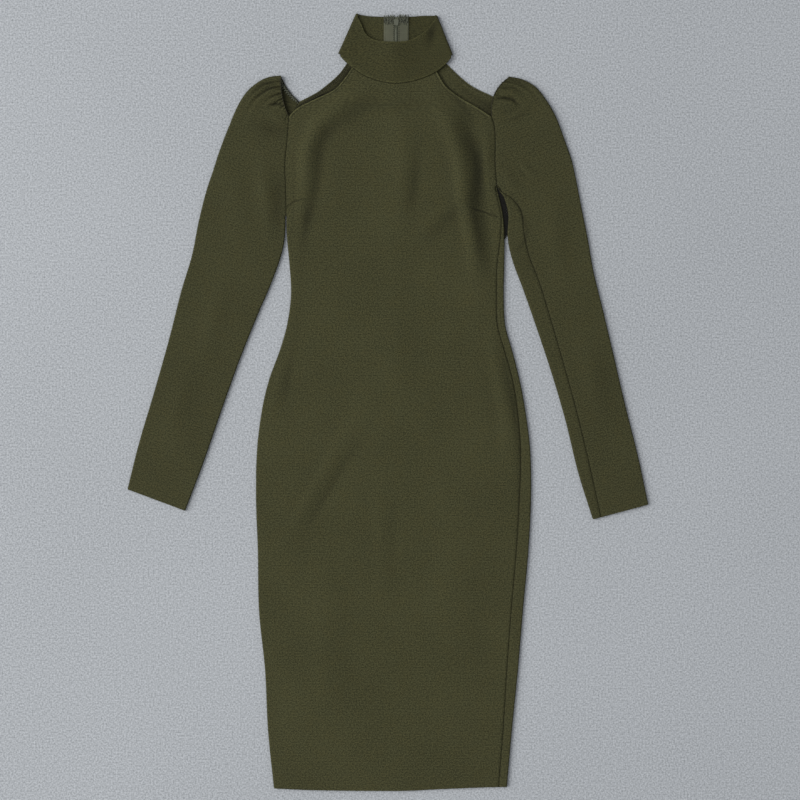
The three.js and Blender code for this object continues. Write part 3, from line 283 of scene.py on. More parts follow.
# Painted shade on the front: in the hollows beside folds, along the right side seam and in a faint
# crease, with one painted highlight on the left chest where the share is negative; as x, y, width and
# share of darkening
FRONT_SHADES = [
    [
        (96, 396, 11, 0.07), (110, 373, 12, 0.22), (124, 350, 9.5, 0.34), (127.5, 325, 9, 0.43),
        (124.5, 296, 9.5, 0.44), (121.5, 276.4, 8, 0.38), (125.5, 253.7, 7, 0.38),
        (132, 219.7, 6.5, 0.34), (134, 185, 6, 0.04),
    ],
    [
        (-16.3, 432.3, 9, 0), (-48.9, 404, 10, 0.12), (-87.2, 381.3, 11, 0.18),
        (-98.5, 357.2, 10, 0.16), (-101.4, 318.9, 9, 0.14), (-108, 285, 7.5, 0.16),
        (-114, 260, 6.5, 0.46), (-116.5, 242, 6, 0.3), (-121, 215, 7, 0.09), (-123, 175, 7, 0.07),
        (-128, 120, 6, 0.06), (-135, 65, 5, 0.08), (-141, 25, 5, 0.09), (-145, -10, 5, 0),
    ],
    [(47, 392, 8, 0), (44, 345, 8, 0.08), (39, 312, 8, 0.16), (33, 285, 7, 0.16), (27, 262, 7, 0)],
    [(112, 292, 7, 0.02), (90, 264, 8, 0.12), (66, 237, 9, 0.13), (42, 214, 9, 0.02)],
    [(84, 447, 4, 0.08), (98, 430, 4.5, 0.28), (110, 415, 4.5, 0.34), (121, 398, 5, 0.12)],
    [
        (150, 100, 9, 0.02), (166, 45, 9, 0.14), (177, 7, 6.5, 0.27), (184, -30, 6, 0.33),
        (187.5, -65, 5.5, 0.31), (188, -110, 6, 0.16), (184, -220, 7, 0.06),
    ],
    [(46, -129, 2.2, 0.02), (85, -130.5, 2, 0.07), (126, -127, 2.2, 0.02)],
    [
        (-130, 295, 7, 0), (-128, 330, 9, -0.07), (-121, 372, 11, -0.09), (-98, 403, 12, -0.1),
        (-60, 428, 10, -0.07), (-38, 441, 8, 0),
    ],
]
# Painted shade on the sleeves: in the creases of the caps, below the caps and along the armhole and
# underarm seams, as x, y, width and share of darkening
SLEEVE_SHADES = {
    "left": [
        [(-190, 396, 9, 0.03), (-170, 387, 9, 0.17), (-151, 384, 9, 0.17)],
        [(-190, 440, 2, 0.2), (-177, 449, 2.2, 0.5), (-163, 453, 2, 0.4)],
        [(-182, 434, 2.2, 0.2), (-171, 443, 2.2, 0.5), (-160, 446, 2, 0.4)],
        [(-168, 419, 2, 0.2), (-157, 422, 2.2, 0.55), (-149, 420, 2, 0.3)],
        [(-152, 330, 7, 0.05), (-153, 300, 8, 0.2), (-157, 262, 9, 0.2), (-160, 225, 8, 0)],
    ],
    "right": [
        [(164, 411, 7, 0.12), (179, 414, 7, 0.14), (191, 422, 6, 0.02)],
        [(158, 396, 2.5, 0.08), (176, 401, 2.5, 0.15), (190, 408, 2.5, 0.15), (199, 417, 2.5, 0.04)],
        [(156, 429, 2, 0.2), (168, 430, 2.2, 0.4), (178, 428, 2.2, 0.4), (186, 420, 3, 0.1)],
        [(172, 457, 2.2, 0.2), (186, 453, 2.4, 0.35), (200, 446, 3, 0.1)],
        [(166, 444, 2, 0.2), (178, 445, 2.2, 0.25), (192, 438, 2.6, 0)],
        [(164, 350, 7, 0), (170, 325, 8, 0.1), (186, 300, 8, 0)],
        [(199, 215, 6, 0.05), (196, 200, 8, 0.1), (205, 160, 9, 0)],
        [
            (174, 297, 2.5, 0.08), (184, 279, 3, 0.2), (193.5, 258, 3, 0.26),
            (197.5, 240, 3.2, 0.26), (194, 227, 2.8, 0.26), (186, 217, 2.5, 0.22),
            (179, 212, 2.5, 0),
        ],
    ],
}
# Painted shadow on the inside of the back panels beside the front's cut-out edges, as x, y, width and
# share of darkening
BACK_SHADES = {
    "left": [
        [
            (-124, 421, 4, 0.2),
            (-97, 436, 4.5, 0.5),
            (-74, 453, 4.5, 0.55),
            (-61, 468, 4.5, 0.5),
            (-54, 479, 4, 0.4),
        ]
    ],
    "right": [[(151, 414, 10, 0.55), (139, 420, 8, 0.42), (122, 431, 6, 0.22), (98, 450, 5, 0.12)]],
}
# Painted shade in the collar's dent at the right and at the middle of its front, as x, y, width and
# share of darkening
COLLAR_SHADES = [
    [(66, 533, 5, 0.25), (62.5, 522, 6.5, 0.48), (57.4, 505, 6, 0.12)],
    [(2, 503, 10, 0.03), (18, 499, 13, 0.09), (32, 506, 9, 0.03)],
]
REVERSE_TONE = 0.95
SLEEVE_TONE = 0.93
# Painted shade in the hollows of the top layer: its share per millimetre of depth, and how many columns
# to each side it compares
HOLLOW_SHADE = 0.4
HOLLOW_REACH = 4

# The turned edge of each front cut-out: a rolled ridge, and the groove of its stitches
EDGE_TURN = [(1.5, 1.1, 0.4), (3.3, 0.9, -0.55)]
SLEEVE_FOLDS = {
    "left": [
        [(-176, 345, 12, 0.2), (-172, 300, 13, 2.6), (-166, 245, 12, 0.3)],
        [(-236, 330, 16, 0.2), (-216, 300, 18, 1.2), (-205, 230, 18, 0.2)],
        [(-228, 185, 15, 0.1), (-246, 120, 15, 1.3), (-262, 50, 15, 0.1)],
        [(-278, 60, 16, 0.1), (-296, 0, 16, 1.1), (-312, -70, 16, 0.1)],
        [(-190, 443, 2, -0.6), (-177, 451, 2, -1.9), (-163, 453, 2, -1.4)],
        [(-184, 437, 2.2, -0.5), (-172, 445, 2.2, -2.2), (-158, 450, 2, -1.6)],
        [(-168, 420, 2, -0.4), (-157, 422, 2, -2), (-148, 421, 2, -1)],
        [(-166, 406, 4, 0.2), (-155, 403, 3.5, 1.2), (-144, 399, 3.5, 0.6)],
        [(-178, 394, 8, 0), (-163, 386, 8, -0.8), (-150, 380, 7, -0.3)],
    ],
    "right": [
        [(186, 341, 5, 0.1), (196, 329, 5, 1), (211, 318, 5, 0.1)],
        [(182, 335, 4, 0), (193, 323, 4, -0.5), (207, 311, 4, 0)],
        [(168, 330, 8, 0.2), (172, 312, 8, 1.4), (185, 290, 8, 0.2)],
        [(197, 232, 3, 0), (191, 222, 3, -0.9), (181, 212, 3, 0)],
        [(232, 300, 16, 0.1), (238, 235, 17, 1.3), (248, 160, 16, 0.1)],
        [(276, 110, 15, 0.1), (290, 40, 15, 1.2), (305, -30, 15, 0.1)],
        [(156, 429, 2, -0.8), (168, 430, 2.2, -2.2), (178, 428, 2.2, -2), (186, 420, 3, -0.3)],
        [(160, 436, 3, 0.3), (178, 436, 3.5, 1.2), (194, 426, 5, 0.2)],
        [(164, 398, 5, 0.2), (180, 403, 5, 1.1), (196, 413, 5, 0.9), (206, 424, 6, 0.1)],
        [(172, 457, 2.2, -0.6), (186, 453, 2.4, -1.8), (200, 446, 3, -0.2)],
        [(166, 444, 2, -0.8), (178, 445, 2.2, -1.2), (192, 438, 2.6, -0.1)],
    ],
}
EDGE_FADE = 16

SLEEVES = {
    "left": {
        "table": LEFT_SLEEVE,
        "armpit": LEFT_ARMPIT,
        "side": -1,
        "wrapping_layer": 1,
        "front_armhole": FRONT_LEFT_ARMHOLE,
        "back_armhole": BACK_LEFT_ARMHOLE,
        "front_bow": 3,
        "back_bow": 3,
        "gathers": LEFT_GATHERS,
        "folds": SLEEVE_FOLDS["left"],
    },
    "right": {
        "table": RIGHT_SLEEVE,
        "armpit": RIGHT_ARMPIT,
        "side": 1,
        "wrapping_layer": -1,
        "front_armhole": FRONT_RIGHT_ARMHOLE,
        "back_armhole": BACK_RIGHT_ARMHOLE,
        "front_bow": -9,
        "back_bow": 3,
        "gathers": RIGHT_GATHERS,
        "folds": SLEEVE_FOLDS["right"],
    },
}

# Zip at the centre back
ZIP_X = 12.3
ZIP_TOP = 545
ZIP_BOTTOM = 45
ZIP_RIDGE = 1
ZIP_RIDGE_WIDTH = 22
ZIP_LIFT = 2.8
ZIP_LIFT_WIDTH = 27
TAPE_HALF_WIDTH = 17.5
TAPE_END = ZIP_BOTTOM - 8
COIL_SLOT = 2.5
SLIDER_Y = 536.5
SLIDER_LENGTH = 8.5
COLLAR_SLOT = 4.4
TOOTH_PITCH = 1.15
TOOTH_WIRE = 0.4
CORD_RADIUS = 1.15
STITCH_RADIUS = 0.24
STITCH_LIFT = 0.16

# Knit: the pitch of its ribs and loops, how much each part lightens it, and its relief in metres
RIB_PITCH = 3.9
LOOP_PITCH = 1.5
RIB_TONE = 0.2
LOOP_TONE = 0.3
FUZZ_TONE = 8.1
CLOUD_TONE = 0.6
TONE_START = -4.1
KNIT_TONES = (-0.6, 1.8)
KNIT_RELIEF = 0.00024
WARMTH = (1.05, 1, 0.92)

# Room, in metres and watts: each lamp's place, size, power and colour, the floor, and a camera
# straight above with the width that it sees
KEY_LIGHT = ((-6, 0.6, 4.4), 6, 588, (1, 0.99, 0.97))
FILL_LIGHT = ((0.9, -2.2, 4.6), 3.5, 26, (0.97, 0.98, 1))
ROOM_COLOUR = (0.95, 0.97, 1, 1)
ROOM_STRENGTH = 0.335
FLOOR_SIZE = 8
FLOOR_GAP = 0.0002
METAL_BEVEL = 0.00018
CAMERA_PLACE = (0.0171, 0.0033, 2.4)
VIEW_WIDTH = 1.134
SENSOR_WIDTH = 36


def lerp(a, b, t):
    return a + (b - a) * t


def smoothstep(x, low, high):
    t = np.clip((x - low) / (high - low), 0, 1)
    return t * t * (3 - 2 * t)


def bell(distance, width):
    return np.exp(-((distance / width) ** 2))


def column_at(rows, along, column, place):
    """A column's value at places along a table, on smooth curves through its rows."""
    keys, values = rows[along], rows[column]
    last = len(keys) - 1
    at = np.clip(place, keys[0], keys[-1])
    i = np.clip(np.searchsorted(keys, at, side="right") - 1, 0, last - 1)
    before = np.maximum(np.arange(last + 1) - 1, 0)
    after = np.minimum(np.arange(last + 1) + 1, last)
    slope = (values[after] - values[before]) / (keys[after] - keys[before])
    span = keys[i + 1] - keys[i]
    t = (at - keys[i]) / span
    rise = t * t * (3 - 2 * t)
    bend = t * (1 - t) ** 2 * slope[i] - t * t * (1 - t) * slope[i + 1]
    return lerp(values[i], values[i + 1], rise) + span * bend


def lengths_along(line):
    """The length of a line of points, from its start to each of them."""
    return np.concatenate([[0], np.cumsum(np.linalg.norm(np.diff(line, axis=0), axis=1))])


def outline(points):
    """A smooth curve through points, as a function of the share of its length."""
    p = np.array(points, float)
    p = np.vstack([2 * p[0] - p[1], p, 2 * p[-1] - p[-2]])
    line = []
    for a, b, c, d in zip(p, p[1:], p[2:], p[3:]):
        d0, d1, d2 = (math.sqrt(np.linalg.norm(m - n)) for m, n in ((b, a), (c, b), (d, c)))
        start = d1 * ((b - a) / d0 - (c - a) / (d0 + d1) + (c - b) / d1)
        end = d1 * ((c - b) / d1 - (d - b) / (d1 + d2) + (d - c) / d2)
        t = np.linspace(0, 1, 40, endpoint=False)[:, None]
        cubic = (2 * b - 2 * c + start + end) * t**3
        square = (3 * c - 3 * b - 2 * start - end) * t**2
        line.append(cubic + square + start * t + b)
    line = np.vstack([*line, p[-2][None]])
    length = lengths_along(line)
    share = length / length[-1]
    return lambda s: (np.interp(s, share, line[:, 0]), np.interp(s, share, line[:, 1]))


def towards(start, end):
    return lambda s: (lerp(start[0], end[0], s), lerp(start[1], end[1], s))


def patch(bottom, top, left, right, u, v):
    """The points of a patch between four curves, at shares u across and v up."""
    u, v = np.broadcast_arrays(u, v)
    flat = []
    for axis in (0, 1):
        edges = (1 - v) * bottom(u)[axis] + v * top(u)[axis]
        edges = edges + (1 - u) * left(v)[axis] + u * right(v)[axis]
        start = (1 - v) * bottom(0.0)[axis] + v * top(0.0)[axis]
        end = (1 - v) * bottom(1.0)[axis] + v * top(1.0)[axis]
        flat.append(edges - (1 - u) * start - u * end)
    return flat


CLOSE = (0.12, 0.35, 0.8, 1.5)
TURN_CLOSE = (0.12, 0.35, 0.8, 1.4, 2, 2.6, 3.2, 3.8, 4.6, 5.6)


def spaced(low, high, step, near_low=True, near_high=True, close=CLOSE):
    """Even places from low to high, with closer ones at the ends that are edges of cloth."""
    close = np.array(close)
    count = max(2, int(round((high - low) / step)))
    places = [np.linspace(low, high, count + 1)]
    if near_low:
        places.append(low + close)
    if near_high:
        places.append(high - close)
    whole = np.unique(np.concatenate(places))
    keep = np.concatenate([[True], np.diff(whole) > 0.1])
    keep[-1] = True
    return whole[keep]


def zip_lift(x, y):
    return ZIP_LIFT * bell(x - ZIP_X, ZIP_LIFT_WIDTH) * smoothstep(y, 440, 500)


def zip_ridge(x, y):
    ends = smoothstep(y, TAPE_END - 30, TAPE_END)
    return ZIP_RIDGE * bell(x - ZIP_X, ZIP_RIDGE_WIDTH) * ends


def body_edges(y):
    """The left and right edges of the body's top layer at heights y."""
    on_body = column_at(BODY, "y", "left", y)
    left = np.where(y <= LEFT_ARMPIT, on_body, column_at(FRONT_LEFT_ARMHOLE, "y", "x", y))
    on_body = column_at(BODY, "y", "right", y)
    right = np.where(y <= RIGHT_ARMPIT, on_body, column_at(FRONT_RIGHT_ARMHOLE, "y", "x", y))
    return left, right


def offset_line(curve, inset, start=0.01, end=0.99, count=160):
    """Points beside a curve, inset to the right of its direction."""
    share = np.linspace(start, end, count)
    x, y = curve(share)
    dx, dy = np.gradient(x), np.gradient(y)
    size = np.hypot(dx, dy)
    return np.stack([x + inset * dy / size, y - inset * dx / size], -1)


def turned_edges():
    """The ridges and grooves beside the front cut-outs, as folds."""
    lines = []
    for cutout, side in ((FRONT_LEFT_CUTOUT, 1), (FRONT_RIGHT_CUTOUT, -1)):
        for inset, width, height in EDGE_TURN:
            places = offset_line(outline(cutout), side * inset, 0, 1, 14)
            lines.append([(x, y, width, height) for x, y in places])
    return lines


def fold_height(x, y, line):
    """The height of one fold at each place, from the nearest point of its line."""
    nearest = np.full(np.broadcast(x, y).shape, np.inf)
    height = np.zeros(nearest.shape)
    for (x0, y0, w0, h0), (x1, y1, w1, h1) in zip(line, line[1:]):
        dx, dy = x1 - x0, y1 - y0
        t = np.clip(((x - x0) * dx + (y - y0) * dy) / (dx * dx + dy * dy), 0, 1)
        distance = np.hypot(x - x0 - t * dx, y - y0 - t * dy)
        here = lerp(h0, h1, t) * bell(distance, lerp(w0, w1, t))
        height = np.where(distance < nearest, here, height)
        nearest = np.minimum(nearest, distance)
    return height


def relief_of(folds, x, y):
    return sum((fold_height(x, y, line) for line in folds), np.zeros(np.broadcast(x, y).shape))


def front_relief(x, y):
    """The soft relief of the dress's front, zero at its side folds and armholes."""
    left, right = body_edges(y)
    from_edge = np.where(y > ARMHOLE_TOP, EDGE_FADE, np.minimum(x - left, right - x))
    fade = smoothstep(from_edge, 0, EDGE_FADE)
    folds = FOLD_GAIN * relief_of(FRONT_FOLDS, x, y) * fade
    creases = relief_of(FRONT_CREASES, x, y) * fade
    ripple = 0.18 * np.sin(x / 13 + 1.3 * np.sin(y / 61)) * np.sin(y / 47 + x / 90) * fade
    soft = np.clip(folds + creases + ripple, 0.4 - LAYER_GAP, MOST_RELIEF)
    return soft + relief_of(DARTS + turned_edges(), x, y) + zip_ridge(x, y)


def back_relief(x, y):
    """Faint creases of the layers below, which lie flat on the ground."""
    crease = np.sin(x / 17 + 1.1 * np.sin(y / 73)) * np.sin(y / 58 - x / 120)
    return 0.14 * (1 + crease)


def points(x, y, z, nx, ny, nz):
    """A row of middle points with the directions of their outer face."""
    return np.stack(np.broadcast_arrays(*(np.asarray(a, float) for a in (x, y, z, nx, ny, nz))), -1)


FOLD_SHARES = np.linspace(0, 1, 13)
WRAP_SHARES = np.array([0, 0.012, 0.035, 0.08, 0.15, 0.3, 0.45, 0.6, 0.75, 0.9])


def fold_strip(edge, inward, layer, turn, wrap, height, cloth):
    """Cloth from a sewn edge, over a flat wrap and a fold, to the start of its flat layer."""
    bend = max(turn, 0.001)
    radius = math.pi * (height / 2 - cloth / 2) / bend
    whole = turn >= math.pi / 2
    reach = radius if whole else radius * math.sin(bend) + wrap * math.cos(bend)
    flat_start = reach + (cloth / 2 if whole else cloth / 2 * math.sin(bend))
    flat_z = height - cloth / 2 if layer > 0 else cloth / 2
    most_rise = radius * (1 - math.cos(bend)) + wrap * math.sin(bend)
    press = min(1, (height - cloth) / most_rise)
    rest = wrap * (1 - WRAP_SHARES)
    angle = bend * (1 - FOLD_SHARES)
    out = [radius * math.sin(bend) + rest * math.cos(bend), radius * np.sin(angle)]
    rise = [radius * (1 - math.cos(bend)) + rest * math.sin(bend), radius * (1 - np.cos(angle))]
    angle = np.concatenate([np.full(len(rest), bend), angle])
    out, rise = np.concatenate(out), np.concatenate(rise)
    return points(
        edge[0] + inward[0] * (flat_start - out),
        edge[1] + inward[1] * (flat_start - out),
        flat_z - layer * press * rise,
        -inward[0] * np.sin(angle),
        -inward[1] * np.sin(angle),
        layer * np.cos(angle),
    )


def armpit_turn(y, armpit):
    return float(math.pi * (1 - smoothstep(y, armpit - ARMPIT_EASE, armpit)))


def wrap_length(seam, y, armpit):
    """The flat length of a wrap, which runs out before its fold opens at the armpit."""
    ease = smoothstep(armpit - y, ARMPIT_EASE, 2 * ARMPIT_EASE)
    return float(lerp(LEAST_WRAP, max(seam - BODY_HEIGHT / 2, LEAST_WRAP), ease))


def meeting_edge(wrap, y, armpit):
    """Where a layer that meets a wrap ends, as its distance in from the fold's edge."""
    draw = 1 - smoothstep(y, armpit, armpit + ARMPIT_EASE / 2)
    return float(lerp(SEAM_GAP / 2, BODY_HEIGHT / 2 + wrap + SEAM_GAP, draw))


def straight(start, end_x, shares, nz):
    """Points from a start, across to an end at the same height, at the given shares."""
    return points(lerp(start[0], end_x, shares), start[1], start[2], 0, 0, nz)


def body_rows():
    """Heights of a body panel's rows, closer where a fold opens out and at the hem."""
    rows = [spaced(BODY["y"][0], 240, 6, near_high=False)]
    rows.append(np.arange(242.5, 259, 1.6))
    rows.append(np.arange(259.5, 290, 0.8))
    rows.append(np.arange(291, 314, 1.6))
    rows.append(np.linspace(316, ARMHOLE_TOP, 22))
    return np.concatenate(rows)


def neck_seam(line, from_x, to_x):
    """The stretch of a neckline that a panel is sewn to, just below the collar."""
    whole = outline(line)
    share = np.linspace(0, 1, 2001)
    start, end = (float(np.interp(x, whole(share)[0], share)) for x in (from_x, to_x))
    return lambda s: (whole(lerp(start, end, s))[0], whole(lerp(start, end, s))[1] - NECK_GAP)


def between(edge, start, end):
    """An edge, moved a little so that it runs from one given corner to another."""
    x0, y0 = edge(0.0)
    x1, y1 = edge(1.0)

    def moved(s):
        x, y = edge(s)
        return x + lerp(start[0] - x0, end[0] - x1, s), y + lerp(start[1] - y0, end[1] - y1, s)

    return moved


def cutout_rows(base, left, right, neck, nz, step):
    """Rows from the last straight row of a panel up to its neckline, between its cut-out edges."""
    first, last = base[0], base[-1]
    u = (base[:, 0] - first[0]) / (last[0] - first[0])
    length = abs(float(neck(0.5)[1]) - first[1])
    v = spaced(0, length, step, near_low=False)[1:, None] / length
    bottom = towards((first[0], first[1]), (last[0], last[1]))
    from_first = between(left, first, [float(a) for a in neck(0.0)])
    from_last = between(right, last, [float(a) for a in neck(1.0)])
    x, y = patch(bottom, neck, from_first, from_last, u[None], v)
    return points(x, y, last[2], 0, 0, nz)


def settle(grid, relief):
    """Raises every point over the zip, and those of the layer on top by their relief."""
    x, y, nz = grid[..., 0], grid[..., 1], grid[..., 5]
    grid[..., 2] += zip_lift(x, y) + np.maximum(nz, 0) * relief(x, y)
    near = 1 - smoothstep(y, BODY["y"][0], BODY["y"][0] + HEM_FADE)
    grid[..., 1] += column_at(HEM, "x", "rise", x) * near
    return grid


def front_grid():
    """The front: it wraps under at its left fold, and ends at the seam near its right one."""
    width = 330
    shares = spaced(0, width, 2.55, close=TURN_CLOSE)[1:] / width
    rows = []
    for y in body_rows():
        left, right = (float(e) for e in body_edges(y))
        seam = float(column_at(BODY, "y", "seam", y))
        turn, wrap = armpit_turn(y, LEFT_ARMPIT), wrap_length(seam, y, LEFT_ARMPIT)
        edge = (left + SEAM_GAP / 2, y)
        strip = fold_strip(edge, (1, 0), 1, turn, wrap, BODY_HEIGHT, CLOTH)
        drawn = meeting_edge(wrap_length(seam, y, RIGHT_ARMPIT), y, RIGHT_ARMPIT)
        rows.append(np.vstack([strip, straight(strip[-1], right - drawn, shares, 1)]))
    neck = neck_seam(FRONT_NECKLINE, FRONT_LEFT_CUTOUT[-1][0], FRONT_RIGHT_CUTOUT[-1][0])
    left, right = outline(FRONT_LEFT_CUTOUT), outline(FRONT_RIGHT_CUTOUT)
    top = cutout_rows(rows[-1], left, right, neck, 1, 1.7)
    return settle(np.concatenate([np.array(rows), top]), front_relief)


def back_grid(side):
    """Half the back, from its side seam to the zip or the centre-back seam."""
    on_right = side > 0
    armpit = RIGHT_ARMPIT if on_right else LEFT_ARMPIT
    armhole = BACK_RIGHT_ARMHOLE if on_right else BACK_LEFT_ARMHOLE
    cutout = BACK_RIGHT_CUTOUT if on_right else BACK_LEFT_CUTOUT
    armhole_top = armhole["y"][-1]
    width = 170
    whole = spaced(0, width, 4.2) / width
    rows = []
    for y in np.concatenate([body_rows(), np.linspace(ARMHOLE_TOP, armhole_top, 9)[1:]]):
        edges = [float(e) for e in body_edges(y)]
        below = edges[1] if on_right else edges[0]
        edge = below if y <= armpit else float(column_at(armhole, "y", "x", y))
        seam = float(column_at(BODY, "y", "seam", y))
        slot = smoothstep(y, 15, ZIP_BOTTOM)
        centre = ZIP_X + side * float(lerp(SEAM_GAP / 2, COIL_SLOT, slot))
        wrap = wrap_length(seam, y, armpit)
        if on_right:
            start = (edge - SEAM_GAP / 2, y)
            turn = armpit_turn(y, armpit)
            strip = fold_strip(start, (-1, 0), -1, turn, wrap, BODY_HEIGHT, CLOTH)
            rows.append(np.vstack([strip, straight(strip[-1], centre, whole[1:], -1)]))
        else:
            near = edge + meeting_edge(wrap, y, armpit)
            rows.append(straight((near, y, CLOTH / 2), centre, whole, -1))
    zip_side = ZIP_X + side * COIL_SLOT
    neck = neck_seam(BACK_NECKLINE, cutout[-1][0], zip_side)
    middle = towards((zip_side, armhole_top), (zip_side, float(neck(1.0)[1])))
    top = cutout_rows(rows[-1], outline(cutout), middle, neck, -1, 3)
    grid = np.concatenate([np.array(rows), top])
    below = np.maximum(-grid[..., 5], 0)
    grid[..., 2] += below * back_relief(grid[..., 0], grid[..., 1])
    return settle(grid, front_relief)


def armhole_point(armhole, side, y):
    return np.array([float(column_at(armhole, "y", "x", y)) + side * SEAM_GAP / 2, y])


def layer_line(outer, inner, bow, shares):
    """Points of one layer of a sleeve's section, from its outer fold to its inner end."""
    across = inner - outer
    out = 4 * shares * (1 - shares) * bow / np.linalg.norm(across)
    x = outer[0] + shares * across[0] + out * across[1]
    y = outer[1] + shares * across[1] - out * across[0]
    return x, y


def outer_fold(outer, direction, height):
    radius = height / 2 - CLOTH / 2
    angle = math.pi * (FOLD_SHARES - 0.5)
    back = height / 2 - radius * np.cos(angle)
    return points(
        outer[0] - direction[0] * back,
        outer[1] - direction[1] * back,
        height / 2 + radius * np.sin(angle),
        direction[0] * np.cos(angle),
        direction[1] * np.cos(angle),
        np.sin(angle),
    )


def gather_height(gathers, t, from_edge):
    """The puffed gathers of a cap: soft ridges with creases between them, from its free edge."""
    total = np.full(t.shape, GATHER_LIFT * float(bell(from_edge, 45)))
    for at, drift, width, depth, reach in zip(*gathers.values()):
        run = float(bell(from_edge, reach))
        place = at + drift * from_edge / 60
        spread = width * (1 + from_edge / 55)
        total -= 1.35 * depth * run * bell(t - place, spread)
        total += 0.45 * depth * run * bell(t - place - 1.5 * spread, spread)
    ends = np.sin(math.pi * np.clip(t, 0.015, 0.985)) ** 0.4
    return np.clip(total, -0.6, 3.3) * ends * float(smoothstep(120 - from_edge, 0, 70))


def sleeve_relief(sleeve, x, y, t, along):
    """Soft folds along a sleeve, and the creases of its cap."""
    seed = 0.7 if sleeve["side"] > 0 else 2.1
    wave = np.sin(5.5 * t + along / 38 + seed) * math.sin(along / 31 + 2 * seed)
    ends = np.sin(math.pi * t) ** 0.5
    return (0.2 * wave + 1.3 * relief_of(sleeve["folds"], x, y)) * ends


def sleeve_row(sleeve, along, top_shares, under_shares):
    def value(column):
        return float(column_at(sleeve["table"], "along", column, along))

    side, layer, armpit = sleeve["side"], sleeve["wrapping_layer"], sleeve["armpit"]
    last = sleeve["table"]["along"][-1]
    cap = float(smoothstep(along, CAP_START, last))
    front, back = value("front"), value("back")
    is_open = front >= armpit - 0.01
    wrap = wrap_length(value("seam"), front, armpit)
    height = BODY_HEIGHT + CAP_RISE * math.sin(math.pi * min(cap * 1.2, 1) * 0.8)
    outer = np.array([value("outerX"), value("outerY")])
    fold = np.array([value("innerX") + side * SEAM_GAP / 2, front])
    front_end = armhole_point(sleeve["front_armhole"], side, front) if is_open else fold
    back_end = armhole_point(sleeve["back_armhole"], side, back) if is_open else fold
    turn = armpit_turn(front, armpit)
    across = outer - (front_end + back_end) / 2
    direction = across / np.linalg.norm(across)
    wrap_end = front_end if layer > 0 else back_end
    meet_end = back_end if layer > 0 else front_end
    strip = fold_strip(wrap_end, direction, layer, turn, wrap, BODY_HEIGHT, CLOTH)
    meeting = meeting_edge(wrap, front, armpit) - SEAM_GAP / 2
    meet_end = meet_end + direction * meeting
    outer_strip = outer_fold(outer, direction, height)
    top_end = strip[-1, :2] if layer > 0 else meet_end
    under_end = meet_end if layer > 0 else strip[-1, :2]
    bows = [sleeve[name] * side * -cap for name in ("front_bow", "back_bow")]
    x, y = layer_line(outer_strip[-1, :2], top_end, bows[0], top_shares)
    swell = gather_height(sleeve["gathers"], top_shares, last - along)
    swell = np.clip(swell + sleeve_relief(sleeve, x, y, top_shares, along), -0.7, 5)
    z = lerp(height, BODY_HEIGHT, smoothstep(top_shares, 0, 1)) - CLOTH / 2 + swell
    top = points(x, y, z, 0, 0, 1)
    x, y = layer_line(outer_strip[0, :2], under_end, bows[1], under_shares)
    wave = 0.5 - 0.5 * np.cos(6 * math.pi * under_shares + 0.6 * np.sin(9 * under_shares))
    ends = np.sin(math.pi * under_shares) ** 0.5
    rise = BACK_GATHER_DEPTH * float(smoothstep(cap, 0.7, 1)) * wave * ends
    under = points(x, y, CLOTH / 2 + rise, 0, 0, -1)
    if layer > 0:
        return np.vstack([under[::-1], outer_strip, top, strip[-2::-1]])
    return np.vstack([strip[:-1], under[::-1], outer_strip, top])


def sleeve_grid(sleeve):
    width = 110
    top_shares = spaced(0, width, 1.35, near_low=False)[1:] / width
    under_shares = spaced(0, width, 3.4, near_low=False)[1:] / width
    if sleeve["wrapping_layer"] > 0:
        top_shares = np.linspace(0, 1, 83)[1:]
    last = sleeve["table"]["along"][-1]
    arm = spaced(0, 400, 6, near_high=False)
    cap = spaced(402, last, 1.9, near_low=False)
    stations = np.concatenate([arm, cap])
    return np.array([sleeve_row(sleeve, s, top_shares, under_shares) for s in stations]), stations


def collar_fold(x, y, side):
    radius = COLLAR_HEIGHT / 2 - COLLAR_CLOTH / 2
    angle = math.pi * (FOLD_SHARES - 0.5)
    x = x - side * (COLLAR_HEIGHT / 2 - radius * np.cos(angle))
    z = COLLAR_HEIGHT / 2 + radius * np.sin(angle)
    return points(x, y, z, side * np.cos(angle), 0, np.sin(angle))


def collar_relief(x, y):
    """Soft dents of the collar's front, and the ridge that the zip below it makes."""
    dents = [
        [(67, 538, 7, -0.2), (62, 520, 7, -1.1), (60, 498, 8, -0.1)],
        [(-36, 528, 8, 0), (-44, 497, 8, -0.4)],
        [(20, 505, 13, -0.4), (14, 470, 13, 0)],
    ]
    return zip_ridge(x, y) + relief_of(dents, x, y)


